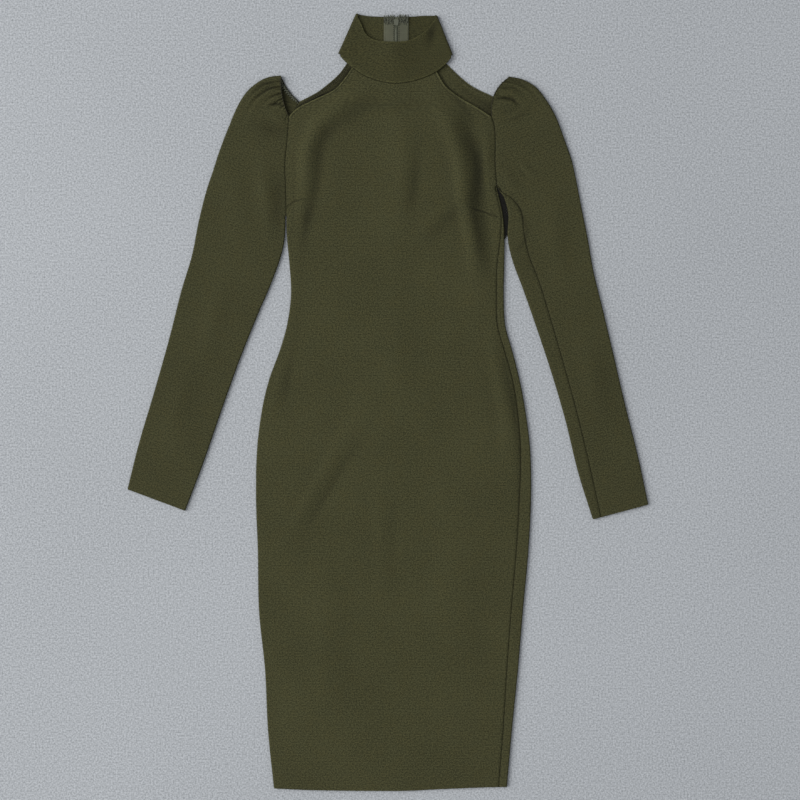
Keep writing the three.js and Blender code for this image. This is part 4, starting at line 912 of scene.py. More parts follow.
def collar_grid():
    """The collar: one band, folded flat at both sides and open at the centre back."""
    left_fold, right_fold = towards(*LEFT_COLLAR_FOLD), towards(*RIGHT_COLLAR_FOLD)
    front_edges = outline(FRONT_NECKLINE), outline(FRONT_COLLAR_TOP), left_fold, right_fold
    back_edges = outline(BACK_NECKLINE), outline(BACK_COLLAR_TOP), left_fold, right_fold
    rows = []
    for v in spaced(0, 60, 1.5) / 60:
        left, right = left_fold(v), right_fold(v)
        width = right[0] - left[0]
        inset = COLLAR_HEIGHT / 2 / width

        def back_line(start_x, end):
            start = (start_x - left[0]) / width
            u = lerp(start, end, spaced(0, 56, 3, near_high=False)[:-1] / 56)
            x, y = patch(*back_edges, u, v)
            return points(x, y, COLLAR_CLOTH / 2, 0, 0, -1)

        u = lerp(inset, 1 - inset, np.linspace(0, 1, 90)[1:-1])
        x, y = patch(*front_edges, u, v)
        front = points(x, y, COLLAR_HEIGHT - COLLAR_CLOTH / 2, 0, 0, 1)
        rows.append(
            np.vstack(
                [
                    back_line(ZIP_X - COLLAR_SLOT, inset),
                    collar_fold(*left, -1),
                    front,
                    collar_fold(*right, 1)[::-1],
                    back_line(ZIP_X + COLLAR_SLOT, 1 - inset)[::-1],
                ]
            )
        )
    return settle(np.array(rows), collar_relief)


def tape_middle(y):
    """The middle of the zip tape's height, which lies on the back and then on the collar."""
    step = (COLLAR_CLOTH - CLOTH) * smoothstep(y, 462, 484)
    return CLOTH + SEAM_GAP + TAPE_CLOTH / 2 + step


def tape_grid(side):
    y = spaced(TAPE_END, ZIP_TOP, 3.4)[:, None]
    x = ZIP_X + side * (COIL_SLOT + spaced(0, TAPE_HALF_WIDTH - COIL_SLOT, 1))[None]
    return points(x, y, tape_middle(y) + zip_lift(x, y), 0, 0, 1)


def distances(grid):
    """For each point, how far it lies from each of the grid's four edges, along its lines."""
    place = grid[..., :3]
    steps = np.linalg.norm(np.diff(place, axis=0), axis=-1)
    up = np.vstack([np.zeros(place.shape[1]), np.cumsum(steps, axis=0)])
    steps = np.linalg.norm(np.diff(place, axis=1), axis=-1)
    across = np.hstack([np.zeros((len(place), 1)), np.cumsum(steps, axis=1)])
    return up, up[-1] - up, across, across[:, -1:] - across


def rounded(distance, radius):
    """The share of a cloth's thickness near an edge that is rounded off."""
    t = np.clip(1 - distance / radius, 0, 1)
    return np.sqrt(np.maximum(1 - t * t, 0.05))


def hollows(grid, reach):
    """How deep each point of the layer on top lies below its neighbours across the grid."""
    z = np.pad(grid[..., 2], ((0, 0), (reach + 1, reach)), mode="edge")
    total = np.cumsum(z, axis=1)
    mean = (total[:, 2 * reach + 1 :] - total[:, : -2 * reach - 1]) / (2 * reach + 1)
    return np.where(grid[..., 5] > 0.99, np.maximum(mean - grid[..., 2], 0), 0)


def painted_light_and_shade(grid, shades=(), inner_shading=(), turned=(), whole=1.0):
    """Painted light and shade on a cloth's outer and inner face, as shares of its own colour:
    painted shade on the sloping sides of folds and in the hollows of the top layer; shades as
    painted shade on the outer face; inner_shading as painted shade and painted highlights on the
    inner one; turned as painted highlights along turned edges on the outer one, and painted shade
    in their stitch grooves where negative. The inner face is drawn a set share darker."""
    # fold is painted shade: the cloth is drawn darker where its face turns sideways, on the sides of
    # its folds.
    x, y, fold = grid[..., 0], grid[..., 1], whole * (0.7 + 0.3 * np.abs(grid[..., 5]))
    # deep is painted shade in the hollows of the top layer.
    deep = 1 - np.minimum(HOLLOW_SHADE * hollows(grid, HOLLOW_REACH), 0.5)
    outer = fold * deep * (1 - relief_of(shades, x, y)) * (1 + relief_of(turned, x, y))
    inner = REVERSE_TONE * fold * (1 - relief_of(inner_shading, x, y))
    return outer, inner


def cloth_shell(name, grid, cloth, uv, dips, tone):
    """A closed, smoothly shaded wall over a grid. dips sink its outer face along its edges:
    the first row, the last row, the first column and the last column. Where an edge dips, its
    outer face also gets painted shade along the seam's groove. tone holds the painted light and
    shade of the outer and inner face, which is kept as the tone attribute."""
    near = distances(grid)
    rows, columns = grid.shape[:2]
    share = np.ones((rows, columns))
    sink = np.zeros((rows, columns))
    sewn = np.ones((rows, columns))
    for distance, dip in zip(near, dips):
        share *= rounded(distance, EDGE_ROUND)
        sink += dip * bell(distance, SEAM_DIP_WIDTH)
        # sewn is painted shade in the groove of each dipped seam.
        if dip > 0:
            sewn *= 1 - 0.3 * bell(distance, 1.3)
    half = cloth / 2 * share[..., None]
    outer = grid[..., :3] + grid[..., 3:] * (half - sink[..., None])
    inner = grid[..., :3] - grid[..., 3:] * half
    index = np.arange(rows * columns).reshape(rows, columns)
    a, b, c, d = index[:-1, :-1], index[:-1, 1:], index[1:, 1:], index[1:, :-1]
    top = np.stack([a, b, c, d], -1).reshape(-1, 4)
    count = rows * columns
    rim = np.concatenate([index[0, ::-1], index[1:, 0], index[-1, 1:], index[-2:0:-1, -1]])
    after = np.roll(rim, -1)
    wall = np.stack([after, rim, rim + count, after + count], -1)
    faces = np.vstack([top, top[:, ::-1] + count, wall])
    place = np.vstack([outer.reshape(-1, 3), inner.reshape(-1, 3)])
    if signed_volume(place, faces) < 0:
        faces = faces[:, ::-1]
    piece = link_mesh(name, place, faces.tolist(), np.tile(uv.reshape(-1, 2), (2, 1)))
    values = np.concatenate([(tone[0] * sewn).ravel(), tone[1].ravel()])
    attribute = piece.data.attributes.new("tone", "FLOAT", "POINT")
    attribute.data.foreach_set("value", values.astype(np.float32))
    return piece


def signed_volume(place, faces):
    total = 0.0
    for second, third in ((1, 2), (2, 3)):
        a, b, c = place[faces[:, 0]], place[faces[:, second]], place[faces[:, third]]
        total += float((a * np.cross(b, c)).sum())
    return total


def link_mesh(name, place, faces, uv):
    """An object in the frame from points in millimetres, with smooth faces and a UV layer."""
    mesh = bpy.data.meshes.new(name)
    mesh.from_pydata(((place - MIDDLE) * MM).tolist(), [], faces)
    mesh.polygons.foreach_set("use_smooth", np.ones(len(mesh.polygons), bool))
    corners = np.array([corner for face in faces for corner in face])
    layer = mesh.uv_layers.new(name="cloth")
    layer.data.foreach_set("uv", (uv * MM)[corners].astype(np.float32).ravel())
    mesh.update()
    piece = bpy.data.objects.new(name, mesh)
    bpy.context.scene.collection.objects.link(piece)
    return piece


def tube_faces(rings, sides, start):
    """The faces along a tube's rings of points, without its two tips."""
    index = start + np.arange(rings * sides).reshape(rings, sides)
    after = np.roll(index, -1, axis=1)
    return np.stack([index[:-1], after[:-1], after[1:], index[1:]], -1).reshape(-1, 4)


def tip_faces(ring, tip):
    """The triangles from a ring to its tip, each as a row that names the tip twice."""
    tips = np.full(len(ring), tip)
    return np.stack([ring, np.roll(ring, -1), tips, tips], -1)


def tubes(name, paths, radius, taper=0.45, sides=6):
    """One mesh of many thin threads, each a tube along its own path with rounded ends."""
    place, faces, uv, start = [], [], [], 0
    angle = 2 * math.pi * np.arange(sides) / sides
    for path in paths:
        path = np.asarray(path, float)
        ahead = np.gradient(path, axis=0)
        ahead /= np.maximum(np.linalg.norm(ahead, axis=1, keepdims=True), 1e-9)
        side = np.cross(ahead, (0.02, 0.05, 1.0))
        side /= np.linalg.norm(side, axis=1, keepdims=True)
        up = np.cross(side, ahead)
        wide = np.full(len(path), radius)
        wide[0] = wide[-1] = radius * taper
        beside, above = np.cos(angle)[None, :, None], np.sin(angle)[None, :, None]
        ring = beside * side[:, None] + above * up[:, None]
        rings = path[:, None] + wide[:, None, None] * ring
        ends = [path[0] - ahead[0] * radius * 0.4, path[-1] + ahead[-1] * radius * 0.4]
        count = len(path) * sides
        place.append(np.vstack([rings.reshape(-1, 3), ends]))
        faces.append(tube_faces(len(path), sides, start))
        first = start + np.arange(sides)
        last = first + (len(path) - 1) * sides
        faces.append(tip_faces(first, start + count)[:, ::-1])
        faces.append(tip_faces(last, start + count + 1))
        length = lengths_along(path)
        around = np.stack([np.repeat(length, sides), np.tile(angle, len(path))], -1)
        uv.append(np.vstack([around, [[0, 0], [length[-1], 0]]]))
        start += count + 2
    clean = [tuple(dict.fromkeys(face)) for face in np.vstack(faces).tolist()]
    return link_mesh(name, np.vstack(place), clean, np.vstack(uv))


def stitch_paths(line, surface, stitch, gap, lift):
    """Short stitches along a line of points, each a low arch on the surface."""
    line = np.asarray(line, float)
    length = lengths_along(line)
    paths = []
    arch = lift * np.array([-0.9, 0.7, 1, 0.7, -0.9])
    for start in np.arange(gap, length[-1] - stitch, stitch + gap):
        at = start + stitch * np.array([0, 0.2, 0.5, 0.8, 1])
        x, y = np.interp(at, length, line[:, 0]), np.interp(at, length, line[:, 1])
        paths.append(np.stack([x, y, surface(x, y) + arch], -1))
    return paths


def front_surface(x, y):
    return BODY_HEIGHT + zip_lift(x, y) + front_relief(x, y)


def back_surface(x, y):
    return CLOTH + zip_lift(x, y) + back_relief(x, y)


# Materials


class Nodes:
    """A material's nodes, made and linked in short calls."""

    def __init__(self, name):
        self.material = bpy.data.materials.new(name)
        self.material.use_nodes = True
        self.tree = self.material.node_tree
        self.shader = self.tree.nodes["Principled BSDF"]

    def add(self, kind, **settings):
        node = self.tree.nodes.new(kind)
        for key, value in settings.items():
            setattr(node, key, value)
        return node

    def link(self, output, socket):
        self.tree.links.new(output, socket)

    def math(self, operation, a, b=None, c=None):
        node = self.add("ShaderNodeMath", operation=operation)
        for socket, value in zip(node.inputs, (a, b, c)):
            if value is None:
                continue
            if isinstance(value, (int, float)):
                socket.default_value = value
            else:
                self.link(value, socket)
        return node.outputs[0]

    def noise(self, vector, scale, detail=3.0, roughness=0.55):
        node = self.add("ShaderNodeTexNoise")
        node.inputs["Scale"].default_value = scale
        node.inputs["Detail"].default_value = detail
        node.inputs["Roughness"].default_value = roughness
        self.link(vector, node.inputs["Vector"])
        return node.outputs["Fac"]

    def mix(self, factor, low, high):
        node = self.add("ShaderNodeMix", data_type="RGBA")
        self.link(factor, node.inputs["Factor"])
        for socket, value in ((node.inputs[6], low), (node.inputs[7], high)):
            if isinstance(value, tuple):
                socket.default_value = (*value, 1)
            else:
                self.link(value, socket)
        return node.outputs[2]

    def wave(self, turn):
        """A sine wave between 0 and 1."""
        return self.math("MULTIPLY_ADD", self.math("SINE", turn), 0.5, 0.5)

    def clamp(self, value, low, high):
        return self.math("MAXIMUM", self.math("MINIMUM", value, high), low)

    def cloth_uv(self):
        """The cloth's own flat frame, and its parts across the cloth and along it."""
        uv = self.add("ShaderNodeUVMap", uv_map="cloth").outputs[0]
        split = self.add("ShaderNodeSeparateXYZ")
        self.link(uv, split.inputs[0])
        return uv, split.outputs[0], split.outputs[1]

    def paint(self, colour):
        self.link(colour, self.shader.inputs["Base Color"])

    def bump(self, height, distance, strength):
        node = self.add("ShaderNodeBump")
        node.inputs["Strength"].default_value = strength
        node.inputs["Distance"].default_value = distance
        self.link(height, node.inputs["Height"])
        self.link(node.outputs["Normal"], self.shader.inputs["Normal"])

    def finish(self, **values):
        for key, value in values.items():
            self.shader.inputs[key.replace("_", " ")].default_value = value
        return self.material


def linear(r, g, b):
    """A colour given in sRGB from 0 to 255, as the shader's linear values."""
    return tuple(((c / 255 + 0.055) / 1.055) ** 2.4 for c in (r, g, b))


def rib_knit(name, dark, light):
    """A fine rib knit: ribs along the cloth's own length, crossed by columns of small loops."""
    n = Nodes(name)
    uv, u, v = n.cloth_uv()
    wander = n.noise(uv, 55, 2)
    turn = n.math("MULTIPLY", v, 2 * math.pi / (RIB_PITCH * MM))
    turn = n.math("ADD", turn, n.math("MULTIPLY", wander, 1.6))
    ribs = n.math("POWER", n.wave(turn), 0.7)
    loops = n.math("MULTIPLY", u, 2 * math.pi / (LOOP_PITCH * MM))
    loops = n.math("ADD", loops, n.math("MULTIPLY", n.math("SINE", turn), 0.9))
    loops = n.wave(loops)
    fuzz = n.noise(uv, 520, 4, 0.85)
    height = n.math("MULTIPLY", ribs, 0.4)
    height = n.math("MULTIPLY_ADD", loops, 0.5, height)
    height = n.math("MULTIPLY_ADD", fuzz, 0.5, height)
    cloudy = n.noise(uv, 9, 4)
    tone = n.math("MULTIPLY_ADD", ribs, RIB_TONE, TONE_START)
    tone = n.math("MULTIPLY_ADD", loops, LOOP_TONE, tone)
    tone = n.math("MULTIPLY_ADD", fuzz, FUZZ_TONE, tone)
    tone = n.math("MULTIPLY_ADD", cloudy, CLOUD_TONE, tone)
    tone = n.clamp(tone, *KNIT_TONES)
    patchy = n.math("MULTIPLY_ADD", n.noise(uv, 45, 3, 0.7), 3, -1.2)
    patchy = n.clamp(patchy, 0, 1)
    # The tone attribute carries the painted light and shade of each cloth piece, which scales the
    # knit's colour.
    shade = n.add("ShaderNodeAttribute", attribute_name="tone").outputs["Fac"]
    colour = n.add("ShaderNodeVectorMath", operation="SCALE")
    warm = tuple(c * k for c, k in zip(light, WARMTH))
    n.link(n.mix(tone, dark, n.mix(patchy, light, warm)), colour.inputs[0])
    n.link(shade, colour.inputs["Scale"])
    n.paint(colour.outputs[0])
    n.bump(height, KNIT_RELIEF, 0.7)
    return n.finish(
        Roughness=0.88,
        Specular_IOR_Level=0.18,
        Sheen_Weight=0.12,
        Sheen_Roughness=0.45,
        Sheen_Tint=(*light, 1),
    )


def woven_tape(name, dark, light):
    """A fine herringbone tape."""
    n = Nodes(name)
    uv, u, v = n.cloth_uv()
    fold = n.math("PINGPONG", u, 0.0016)
    twill = n.wave(n.math("MULTIPLY", n.math("ADD", fold, v), 9000))
    yarns = n.wave(n.math("MULTIPLY", u, 12000))
    fuzz = n.noise(uv, 1800, 2)
    height = n.math("MULTIPLY_ADD", twill, 0.6, n.math("MULTIPLY", yarns, 0.3))
    height = n.math("MULTIPLY_ADD", fuzz, 0.3, height)
    tone = n.math("MULTIPLY_ADD", twill, 0.35, n.math("MULTIPLY", n.noise(uv, 120, 3), 0.7))
    n.paint(n.mix(tone, dark, light))
    n.bump(height, 0.00015, 0.6)
    return n.finish(Roughness=0.8, Specular_IOR_Level=0.3, Sheen_Weight=0.1)


def thread_material(name, dark, light, scale=3000, roughness=0.7):
    n = Nodes(name)
    uv, u, v = n.cloth_uv()
    ply = n.wave(n.math("ADD", n.math("MULTIPLY", u, 7000), n.math("MULTIPLY", v, 1000)))
    tone = n.math("MULTIPLY_ADD", ply, 0.5, n.math("MULTIPLY", n.noise(uv, scale, 2), 0.5))
    n.paint(n.mix(tone, dark, light))
    n.bump(ply, 0.0001, 0.5)
    return n.finish(Roughness=roughness, Specular_IOR_Level=0.3)


def painted_metal(name, dark, light):
    """Lacquered zinc: smooth, with faint cloudiness and worn, brighter spots."""
    n = Nodes(name)
    place = n.add("ShaderNodeTexCoord").outputs["Object"]
    cloudy = n.noise(place, 900, 4)
    n.paint(n.mix(cloudy, dark, light))
    grain = n.noise(place, 4200, 3)
    rough = n.math("MULTIPLY_ADD", grain, 0.25, 0.28)
    n.link(rough, n.shader.inputs["Roughness"])
    n.bump(grain, 0.00005, 0.3)
    return n.finish(Metallic=0.55, Specular_IOR_Level=0.5)


def paper_floor():
    n = Nodes("pale_floor")
    place = n.add("ShaderNodeTexCoord").outputs["Object"]
    speck = n.noise(place, 420, 4, 0.7)
    broad = n.noise(place, 1.6, 2)
    tone = n.math("MULTIPLY_ADD", speck, 3.2, n.math("MULTIPLY_ADD", broad, 0.3, -1.2))
    tone = n.clamp(tone, 0, 1)
    n.paint(n.mix(tone, linear(142, 146, 150), linear(198, 202, 207)))
    n.bump(speck, 0.0006, 0.5)
    return n.finish(Roughness=0.9, Specular_IOR_Level=0.2)


cloth_material = rib_knit("olive_rib_knit", linear(46, 46.5, 27), linear(79, 78.5, 51.5))
collar_material = rib_knit("olive_collar_knit", linear(42, 42, 23.5), linear(72, 71.5, 44.5))
tape_material = woven_tape("sage_tape", linear(66, 67, 54), linear(100, 102, 83))
coil_material = thread_material("sage_coil", linear(72, 75, 62), linear(112, 116, 98), 2000, 0.45)
dark_sage_material = thread_material("dark_sage_thread", linear(34, 36, 28), linear(60, 62, 50))
stitch_material = thread_material("olive_thread", linear(70, 69, 47), linear(100, 98, 70))
overlock_material = thread_material("overlock_thread", linear(34, 33, 22), linear(62, 60, 41))
# A near-black thread that paints shadow: it is drawn under the caps' back edges and in the gap at the
# right armpit
shadow_material = thread_material("painted_shadow_thread", linear(12, 12, 10), linear(24, 23, 18), 900, 0.95)
metal_material = painted_metal("sage_metal", linear(84, 87, 74), linear(128, 131, 115))

# The pieces


def flat_uv(grid):
    """The cloth's own flat frame: the length across from the first column, and y along it."""
    _, _, across, _ = distances(grid)
    return np.stack([across, grid[..., 1]], -1)


def sleeve_uv(grid, stations):
    """Along the arm below the armpit, and straight on from there over the cap."""
    _, _, across, _ = distances(grid)
    below = np.stack([across, np.broadcast_to(stations[:, None], across.shape)], -1)
    row = int(np.argmin(np.abs(stations - CAP_FRAME)))
    under = int(np.argmax(grid[row, :, 5] < -0.99))
    top = under + int(np.argmax(grid[row, under:, 5] > 0.99))
    start, end = grid[row, top, :2], grid[row, top + 60, :2]
    side = (end - start) / np.linalg.norm(end - start)
    up = np.array([-side[1], side[0]])
    up = up if up[1] > 0 else -up
    offset = grid[..., :2] - start
    out = offset @ side
    facing = np.where(grid[:, 1:, 5] + grid[:, :-1, 5] > 0, 1.0, -1.0)
    steps = np.cumsum(np.diff(out, axis=1) * facing, axis=1)
    steps = np.hstack([np.zeros((len(out), 1)), steps])
    flat_u = across[row, top] + out[:, [top]] + steps - steps[:, [top]]
    above = np.stack([flat_u, stations[row] + offset @ up], -1)
    blend = smoothstep(stations, 410, 470)[:, None, None]
    return lerp(below, above, blend)


# Each kind of cloth: its thickness, its material and its slot
KNIT = (CLOTH, cloth_material, "cloth")
BAND = (COLLAR_CLOTH, collar_material, "collar_cloth")
TAPE = (TAPE_CLOTH, tape_material, "zip_tape")


def add_cloth(name, node, kind, grid, uv, tone, dips=(0, 0, 0, 0)):
    cloth, material, slot = kind
    piece = cloth_shell(name, grid, cloth, uv, dips, tone)
    piece.data.materials.append(material)
    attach(piece, "garment")
    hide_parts(node)
    return piece


def add_trim(name, paths, radius, material, slot, **settings):
    piece = tubes(name, paths, radius, **settings)
    piece.data.materials.append(material)
    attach(piece, "garment")
    return piece


front = front_grid()
back_left = back_grid(-1)
back_right = back_grid(1)
sleeve_left, left_stations = sleeve_grid(SLEEVES["left"])
sleeve_right, right_stations = sleeve_grid(SLEEVES["right"])
collar = collar_grid()
tape_left, tape_right = tape_grid(-1), tape_grid(1)


def cap_edge_shade(grid):
    """The free edges of a cap's two layers, as lines of painted shade on the inside of the lower one,
    where the upper layer shades it.
    """
    lines = []
    for layer, width, amount in ((1, 8, 0.5), (-1, 6, 0.45)):
        flat = np.flatnonzero(grid[-1, :, 5] * layer > 0.99)
        lines.append([(x, y, width, amount) for x, y in grid[-1, flat[::6], :2]])
    return lines


# A line of painted shading beside a cut-out edge, as x, y, width and amount
def painted_shading_line(cutout, side, width, amount):
    places = offset_line(outline(cutout), side, 0, 1, 14)
    return [(x, y, width, amount) for x, y in places]


# Painted highlights along the front's turned cut-out edges, and painted shade in their stitch grooves
front_edge_light_and_shade = [
    painted_shading_line(FRONT_LEFT_CUTOUT, 0.9, 1.1, 0.75),
    painted_shading_line(FRONT_RIGHT_CUTOUT, -1.3, 1.2, 0.75),
    painted_shading_line(FRONT_LEFT_CUTOUT, 3.3, 0.8, -0.15),
    painted_shading_line(FRONT_RIGHT_CUTOUT, -3.3, 0.8, -0.15),
]
# Painted shadow on the inside of the back panels beside the front's cut-out edges, painted highlights
# along the back's own turned edges, and painted shade in their stitch grooves
back_inner_shading = {
    "left": [
        painted_shading_line(FRONT_LEFT_CUTOUT, -1.2, 1.6, 0.65),
        painted_shading_line(BACK_LEFT_CUTOUT, 0.9, 0.8, -0.35),
        painted_shading_line(BACK_LEFT_CUTOUT, 2.6, 0.9, 0.35),
        *BACK_SHADES["left"],
    ],
    "right": [
        painted_shading_line(FRONT_RIGHT_CUTOUT, 1, 1.8, 0.4),
        painted_shading_line(BACK_RIGHT_CUTOUT, -0.9, 0.8, -0.35),
        painted_shading_line(BACK_RIGHT_CUTOUT, -2.6, 0.9, 0.35),
        *BACK_SHADES["right"],
    ],
}
# Painted highlights along the collar's top edge and just above its neckline seam
collar_edge_highlights = [
    [(x, y - 0.9, 1.1, 0.45) for x, y in FRONT_COLLAR_TOP[:-1]],
    [(x, y + 1.2, 1, 0.5) for x, y in FRONT_NECKLINE],
]
# Painted shade along the creases of the darts
dart_shades = [[(x, y, 1.3, -0.35 * depth) for x, y, _, depth in line] for line in DARTS]

dress_front = add_cloth(
    "dress_front",
    "front_panel",
    KNIT,
    front,
    flat_uv(front),
    painted_light_and_shade(front, FRONT_SHADES + dart_shades, turned=front_edge_light_and_shade),
    (0, 0, SEAM_DIP / 2, SEAM_DIP),
)
dress_back = [
    add_cloth(
        f"dress_back_{name}",
        f"back_{name}",
        KNIT,
        grid,
        flat_uv(grid),
        painted_light_and_shade(grid, inner_shading=back_inner_shading[name]),
        (0, 0, dip, 0),
    )
    for name, grid, dip in (("left", back_left, 0), ("right", back_right, SEAM_DIP))
]
dress_sleeves = [
    add_cloth(
        f"dress_sleeve_{name}",
        f"sleeve_{name}",
        KNIT,
        grid,
        sleeve_uv(grid, stations),
        painted_light_and_shade(grid, SLEEVE_SHADES[name], cap_edge_shade(grid), whole=SLEEVE_TONE),
        dips,
    )
    for name, grid, stations, dips in (
        ("left", sleeve_left, left_stations, (0, 0, 0, SEAM_DIP / 2)),
        ("right", sleeve_right, right_stations, (0, 0, SEAM_DIP, SEAM_DIP)),
    )
]
dress_collar = add_cloth(
    "dress_collar",
    "collar",
    BAND,
    collar,
    flat_uv(collar),
    painted_light_and_shade(collar, COLLAR_SHADES, turned=collar_edge_highlights),
    (0.2, 0, 0, 0),
)
woven_tapes = [
    add_cloth(f"zip_tape_woven_{name}", f"zip_tape_{name}", TAPE, grid, flat_uv(grid), painted_light_and_shade(grid))
    for name, grid in (("left", tape_left), ("right", tape_right))
]

# Zip coil: a tooth on each side at every pitch, bent round the closing line
coil_top = SLIDER_Y - SLIDER_LENGTH / 2 - SEAM_GAP


def tooth_paths():
    """Teeth that turn back into the tape, from the zip's foot to its slider."""
    paths = []
    for k, y in enumerate(np.arange(ZIP_BOTTOM + 1, coil_top - 0.6, TOOTH_PITCH)):
        for side in (-1, 1):
            base = y + (TOOTH_PITCH / 2 if side > 0 else 0)
            middle = float(tape_middle(base) + zip_lift(ZIP_X, base))
            out = np.array([2.5, 1.4, 0.2, -0.35, 0.2, 1.4, 2.5]) * side + ZIP_X
            rise = np.array([-0.62, -0.62, -0.5, 0, 0.5, 0.62, 0.62]) + middle
            lean = base + np.array([-0.1, -0.05, 0, 0.05, 0.1, 0.12, 0.15])
            paths.append(np.stack([out, lean, rise], -1))
    return paths


def cord_path():
    """The cord inside the coil."""
    y = np.linspace(ZIP_BOTTOM + 1, coil_top - 0.5, 90)
    return np.stack([np.full(90, ZIP_X), y, tape_middle(y) + zip_lift(ZIP_X, y)], -1)


zip_teeth = add_trim("zip_coil_teeth", tooth_paths(), TOOTH_WIRE, coil_material, "zip_coil", sides=5)
add_trim("zip_coil_cord", [cord_path()], CORD_RADIUS, coil_material, "zip_coil", sides=8)
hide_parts("zip_coil")


def tape_surface(x, y):
    return tape_middle(y) + zip_lift(x, y) + TAPE_CLOTH / 2


def tape_stitches(side, out, stitch, gap):
    line = [(ZIP_X + side * out, TAPE_END + 3), (ZIP_X + side * out, ZIP_TOP - 2)]
    return stitch_paths(line, tape_surface, stitch, gap, STITCH_LIFT)


def tape_squiggles(side, seed):
    """Loose overlocked loops over the top of a zip tape, which end above the collar's edge."""
    seeded = np.random.default_rng(seed)
    paths = []
    for out in np.arange(3.6, 16.8, 1.2):
        share = np.linspace(0, 1, 9)
        low = ZIP_TOP - seeded.uniform(5, 13)
        high = ZIP_TOP + seeded.uniform(0, 3.6)
        bend = seeded.uniform(-1.6, 1.6) * share + 0.8 * np.sin(7 * share + seeded.uniform(0, 6))
        x = ZIP_X + side * np.minimum(out + bend, 17)
        y = lerp(low, high, share)
        z = tape_surface(x, np.minimum(y, ZIP_TOP)) + 0.2 + 0.25 * np.sin(9 * share) ** 2
        paths.append(np.stack([x, y, z], -1))
    return paths


for name, side in (("left", -1), ("right", 1)):
    [
        add_trim(f"{label}_{name}", paths, radius, material, "zip_tape")
        for label, paths, radius, material in (
            ("coil_stitches", tape_stitches(side, 3.9, 1.3, 1.6), 0.45, dark_sage_material),
            ("tape_stitches", tape_stitches(side, 15.9, 2.2, 0.7), 0.2, stitch_material),
            ("tape_loops_dark", tape_squiggles(side, 21 + side), 0.48, dark_sage_material),
            ("tape_loops_pale", tape_squiggles(side, 31 + side), 0.4, coil_material),
        )
    ]


def cutout_stitches(curve, inset, surface):
    line = offset_line(outline(curve), inset)
    return stitch_paths(line, surface, 2.5, 0.7, STITCH_LIFT)


front_thread = add_trim(
    "cutout_stitches_front",
    cutout_stitches(FRONT_LEFT_CUTOUT, 3.2, front_surface)
    + cutout_stitches(FRONT_RIGHT_CUTOUT, -3.2, front_surface),
    STITCH_RADIUS,
    stitch_material,
    "cloth",
)
back_thread = [
    add_trim(
        f"cutout_stitches_back_{name}",
        [
            stitch
            for inset in (3.4, 5.2)
            for stitch in cutout_stitches(curve, inset * side, back_surface)
        ],
        STITCH_RADIUS,
        stitch_material,
        "cloth",
    )
    for name, curve, side in (("left", BACK_LEFT_CUTOUT, 1), ("right", BACK_RIGHT_CUTOUT, -1))
]


def overlock_paths(grid, stations, layer, seed, reach=1.0, pitch=1.15):
    """A rough overlocked thread over a free edge of a gathered cap, seen from above.
    layer is 1 for the cloth on top and -1 for the cloth below."""
    seeded = np.random.default_rng(seed)
    flat = np.flatnonzero(grid[-1, :, 5] * layer > 0.99)
    columns = slice(int(flat[0]) + 2, int(flat[-1]) - 1)
    edge = grid[-1, columns]
    below = grid[np.searchsorted(stations, stations[-1] - 3.4), columns]
    length = lengths_along(edge[:, :3])
    paths = []
    for start in np.arange(0.5, length[-1] - pitch, pitch):
        at = start + pitch * np.array([0, 0.22, 0.43, 0.7, 0.96]) + seeded.uniform(-0.15, 0.15)
        deep = np.array([0.95, 0.45, -0.12, 0.45, 0.95]) * seeded.uniform(0.8, 1.15) * reach
        path = []
        for s, d in zip(at, deep):
            near = [np.interp(s, length, edge[:, k]) for k in range(6)]
            far = [np.interp(s, length, below[:, k]) for k in range(6)]
            middle = lerp(np.array(near), np.array(far), d)
            path.append(middle[:3] + layer * middle[3:] * (CLOTH / 2 + 0.12))
        paths.append(path)
    return paths


for name, grid, stations in (
    ("left", sleeve_left, left_stations),
    ("right", sleeve_right, right_stations),
):
    upper = overlock_paths(grid, stations, 1, 7)
    # The lower layers' overlock is drawn in the near-black thread of painted shadow, which also paints
    # the shade under each cap's upper layer; its second, longer loops reach further in to paint more of
    # that shade.
    lower = overlock_paths(grid, stations, -1, 8)
    lower += overlock_paths(grid, stations, -1, 13, 2.8, 3.1)
    loose = overlock_paths(grid, stations, -1, 9, 2, 2.6)
    loose += overlock_paths(grid, stations, -1, 11, 3.6, 3.3)
    add_trim(f"cap_overlock_{name}", upper, 0.32, overlock_material, "cloth")
    add_trim(f"cap_back_overlock_{name}", lower, 0.55, shadow_material, "cloth")
    add_trim(f"cap_back_threads_{name}", loose, 0.52, coil_material, "cloth")


def armpit_shadow_threads():
    """Near-black overlocked threads in the gap between the dress and its right sleeve, as painted
    shadow of the back cloth that lies deep in shade there.
    """
    seeded = np.random.default_rng(5)
    paths = []
    for y in np.arange(231, RIGHT_ARMPIT - 1, 0.75):
        left = float(column_at(BODY, "y", "right", y)) - 2
        fold = np.interp(y, RIGHT_SLEEVE["front"], RIGHT_SLEEVE["innerX"])
        right = lerp(left + 2.2, float(fold) + 5, smoothstep(y, 229, 243))
        share = np.linspace(0, 1, 6)
        z = 1.3 + 0.5 * np.sin(math.pi * share) + seeded.uniform(-0.15, 0.15)
        lean = seeded.uniform(-0.8, 0.8)
        paths.append(np.stack([lerp(left, right, share), y + lean * share, z], -1))
    return paths


armpit_shadow_overlock = add_trim("armpit_shadow_overlock_right", armpit_shadow_threads(), 0.55, shadow_material, "cloth")


def zip_top_thread():
    """Threads that hold the two tapes together above the slider."""
    share = np.linspace(-1, 1, 5)
    paths = []
    for y in np.arange(541.2, ZIP_TOP - 0.2, 0.75):
        x = ZIP_X + 3.6 * share
        z = tape_surface(x, y) + 0.15 - 0.5 * (1 - share**2)
        paths.append(np.stack([x, y + 0.25 * share, z], -1))
    return paths


zip_tack = add_trim("zip_top_tack", zip_top_thread(), 0.42, coil_material, "zip_tape")


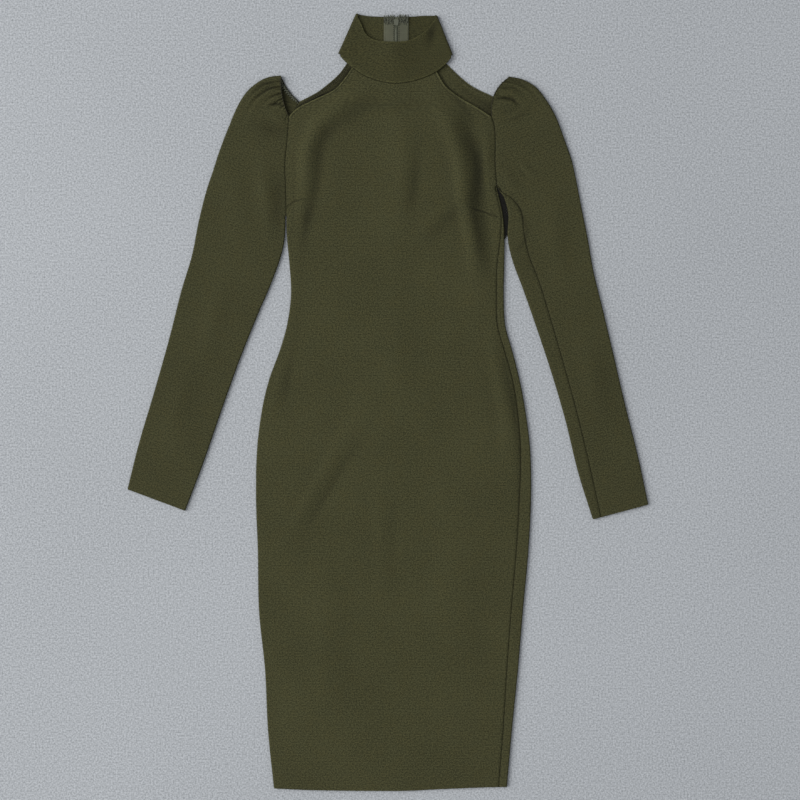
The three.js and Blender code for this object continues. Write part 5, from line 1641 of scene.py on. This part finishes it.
def coil_top_surface(x, y):
    return tape_middle(y) + zip_lift(x, y) + CORD_RADIUS


# Dark stitches along the top of the coil paint the shade between its interlocked teeth
centre_line = [(ZIP_X, ZIP_BOTTOM + 3), (ZIP_X, coil_top - 2)]
centre_shade_stitches = stitch_paths(centre_line, coil_top_surface, 1.3, 1.6, 0.2)
add_trim("zip_coil_centre_shade", centre_shade_stitches, 0.32, dark_sage_material, "zip_coil")

for node in ("zip_slider", "zip_pull"):
    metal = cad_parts[node]
    metal.data.materials.clear()
    metal.data.materials.append(metal_material)
    bevel = metal.modifiers.new("soft_edges", "BEVEL")
    bevel.width = METAL_BEVEL
    bevel.segments = 2
    bevel.limit_method = "ANGLE"

# Floor, lights and camera


def add_floor():
    mesh = bpy.data.meshes.new("floor")
    half = FLOOR_SIZE / 2
    corners = [(-half, -half, 0), (half, -half, 0), (half, half, 0), (-half, half, 0)]
    mesh.from_pydata(corners, [], [(0, 1, 2, 3)])
    floor = bpy.data.objects.new("floor", mesh)
    floor.location = (0, 0, -FLOOR_GAP)
    bpy.context.scene.collection.objects.link(floor)
    mesh.materials.append(paper_floor())


def add_light(name, place, size, power, colour):
    """A square lamp that faces the middle of the floor."""
    light = bpy.data.lights.new(name, "AREA")
    light.size = size
    light.energy = power
    light.color = colour
    lamp = bpy.data.objects.new(name, light)
    lamp.location = place
    lamp.rotation_euler = (-Vector(place)).to_track_quat("-Z", "Y").to_euler()
    bpy.context.scene.collection.objects.link(lamp)


def add_camera():
    """A camera that looks straight down at the dress."""
    data = bpy.data.cameras.new("camera")
    data.sensor_width = SENSOR_WIDTH
    data.lens = SENSOR_WIDTH * CAMERA_PLACE[2] / VIEW_WIDTH
    camera = bpy.data.objects.new("camera", data)
    camera.location = CAMERA_PLACE
    bpy.context.scene.collection.objects.link(camera)
    bpy.context.scene.camera = camera


add_floor()
add_light("key", *KEY_LIGHT)
add_light("fill", *FILL_LIGHT)
add_camera()

world = bpy.data.worlds.new("soft_room")
world.use_nodes = True
background = world.node_tree.nodes["Background"]
background.inputs["Color"].default_value = ROOM_COLOUR
background.inputs["Strength"].default_value = ROOM_STRENGTH
bpy.context.scene.world = world
bpy.context.scene.view_settings.view_transform = "Standard"
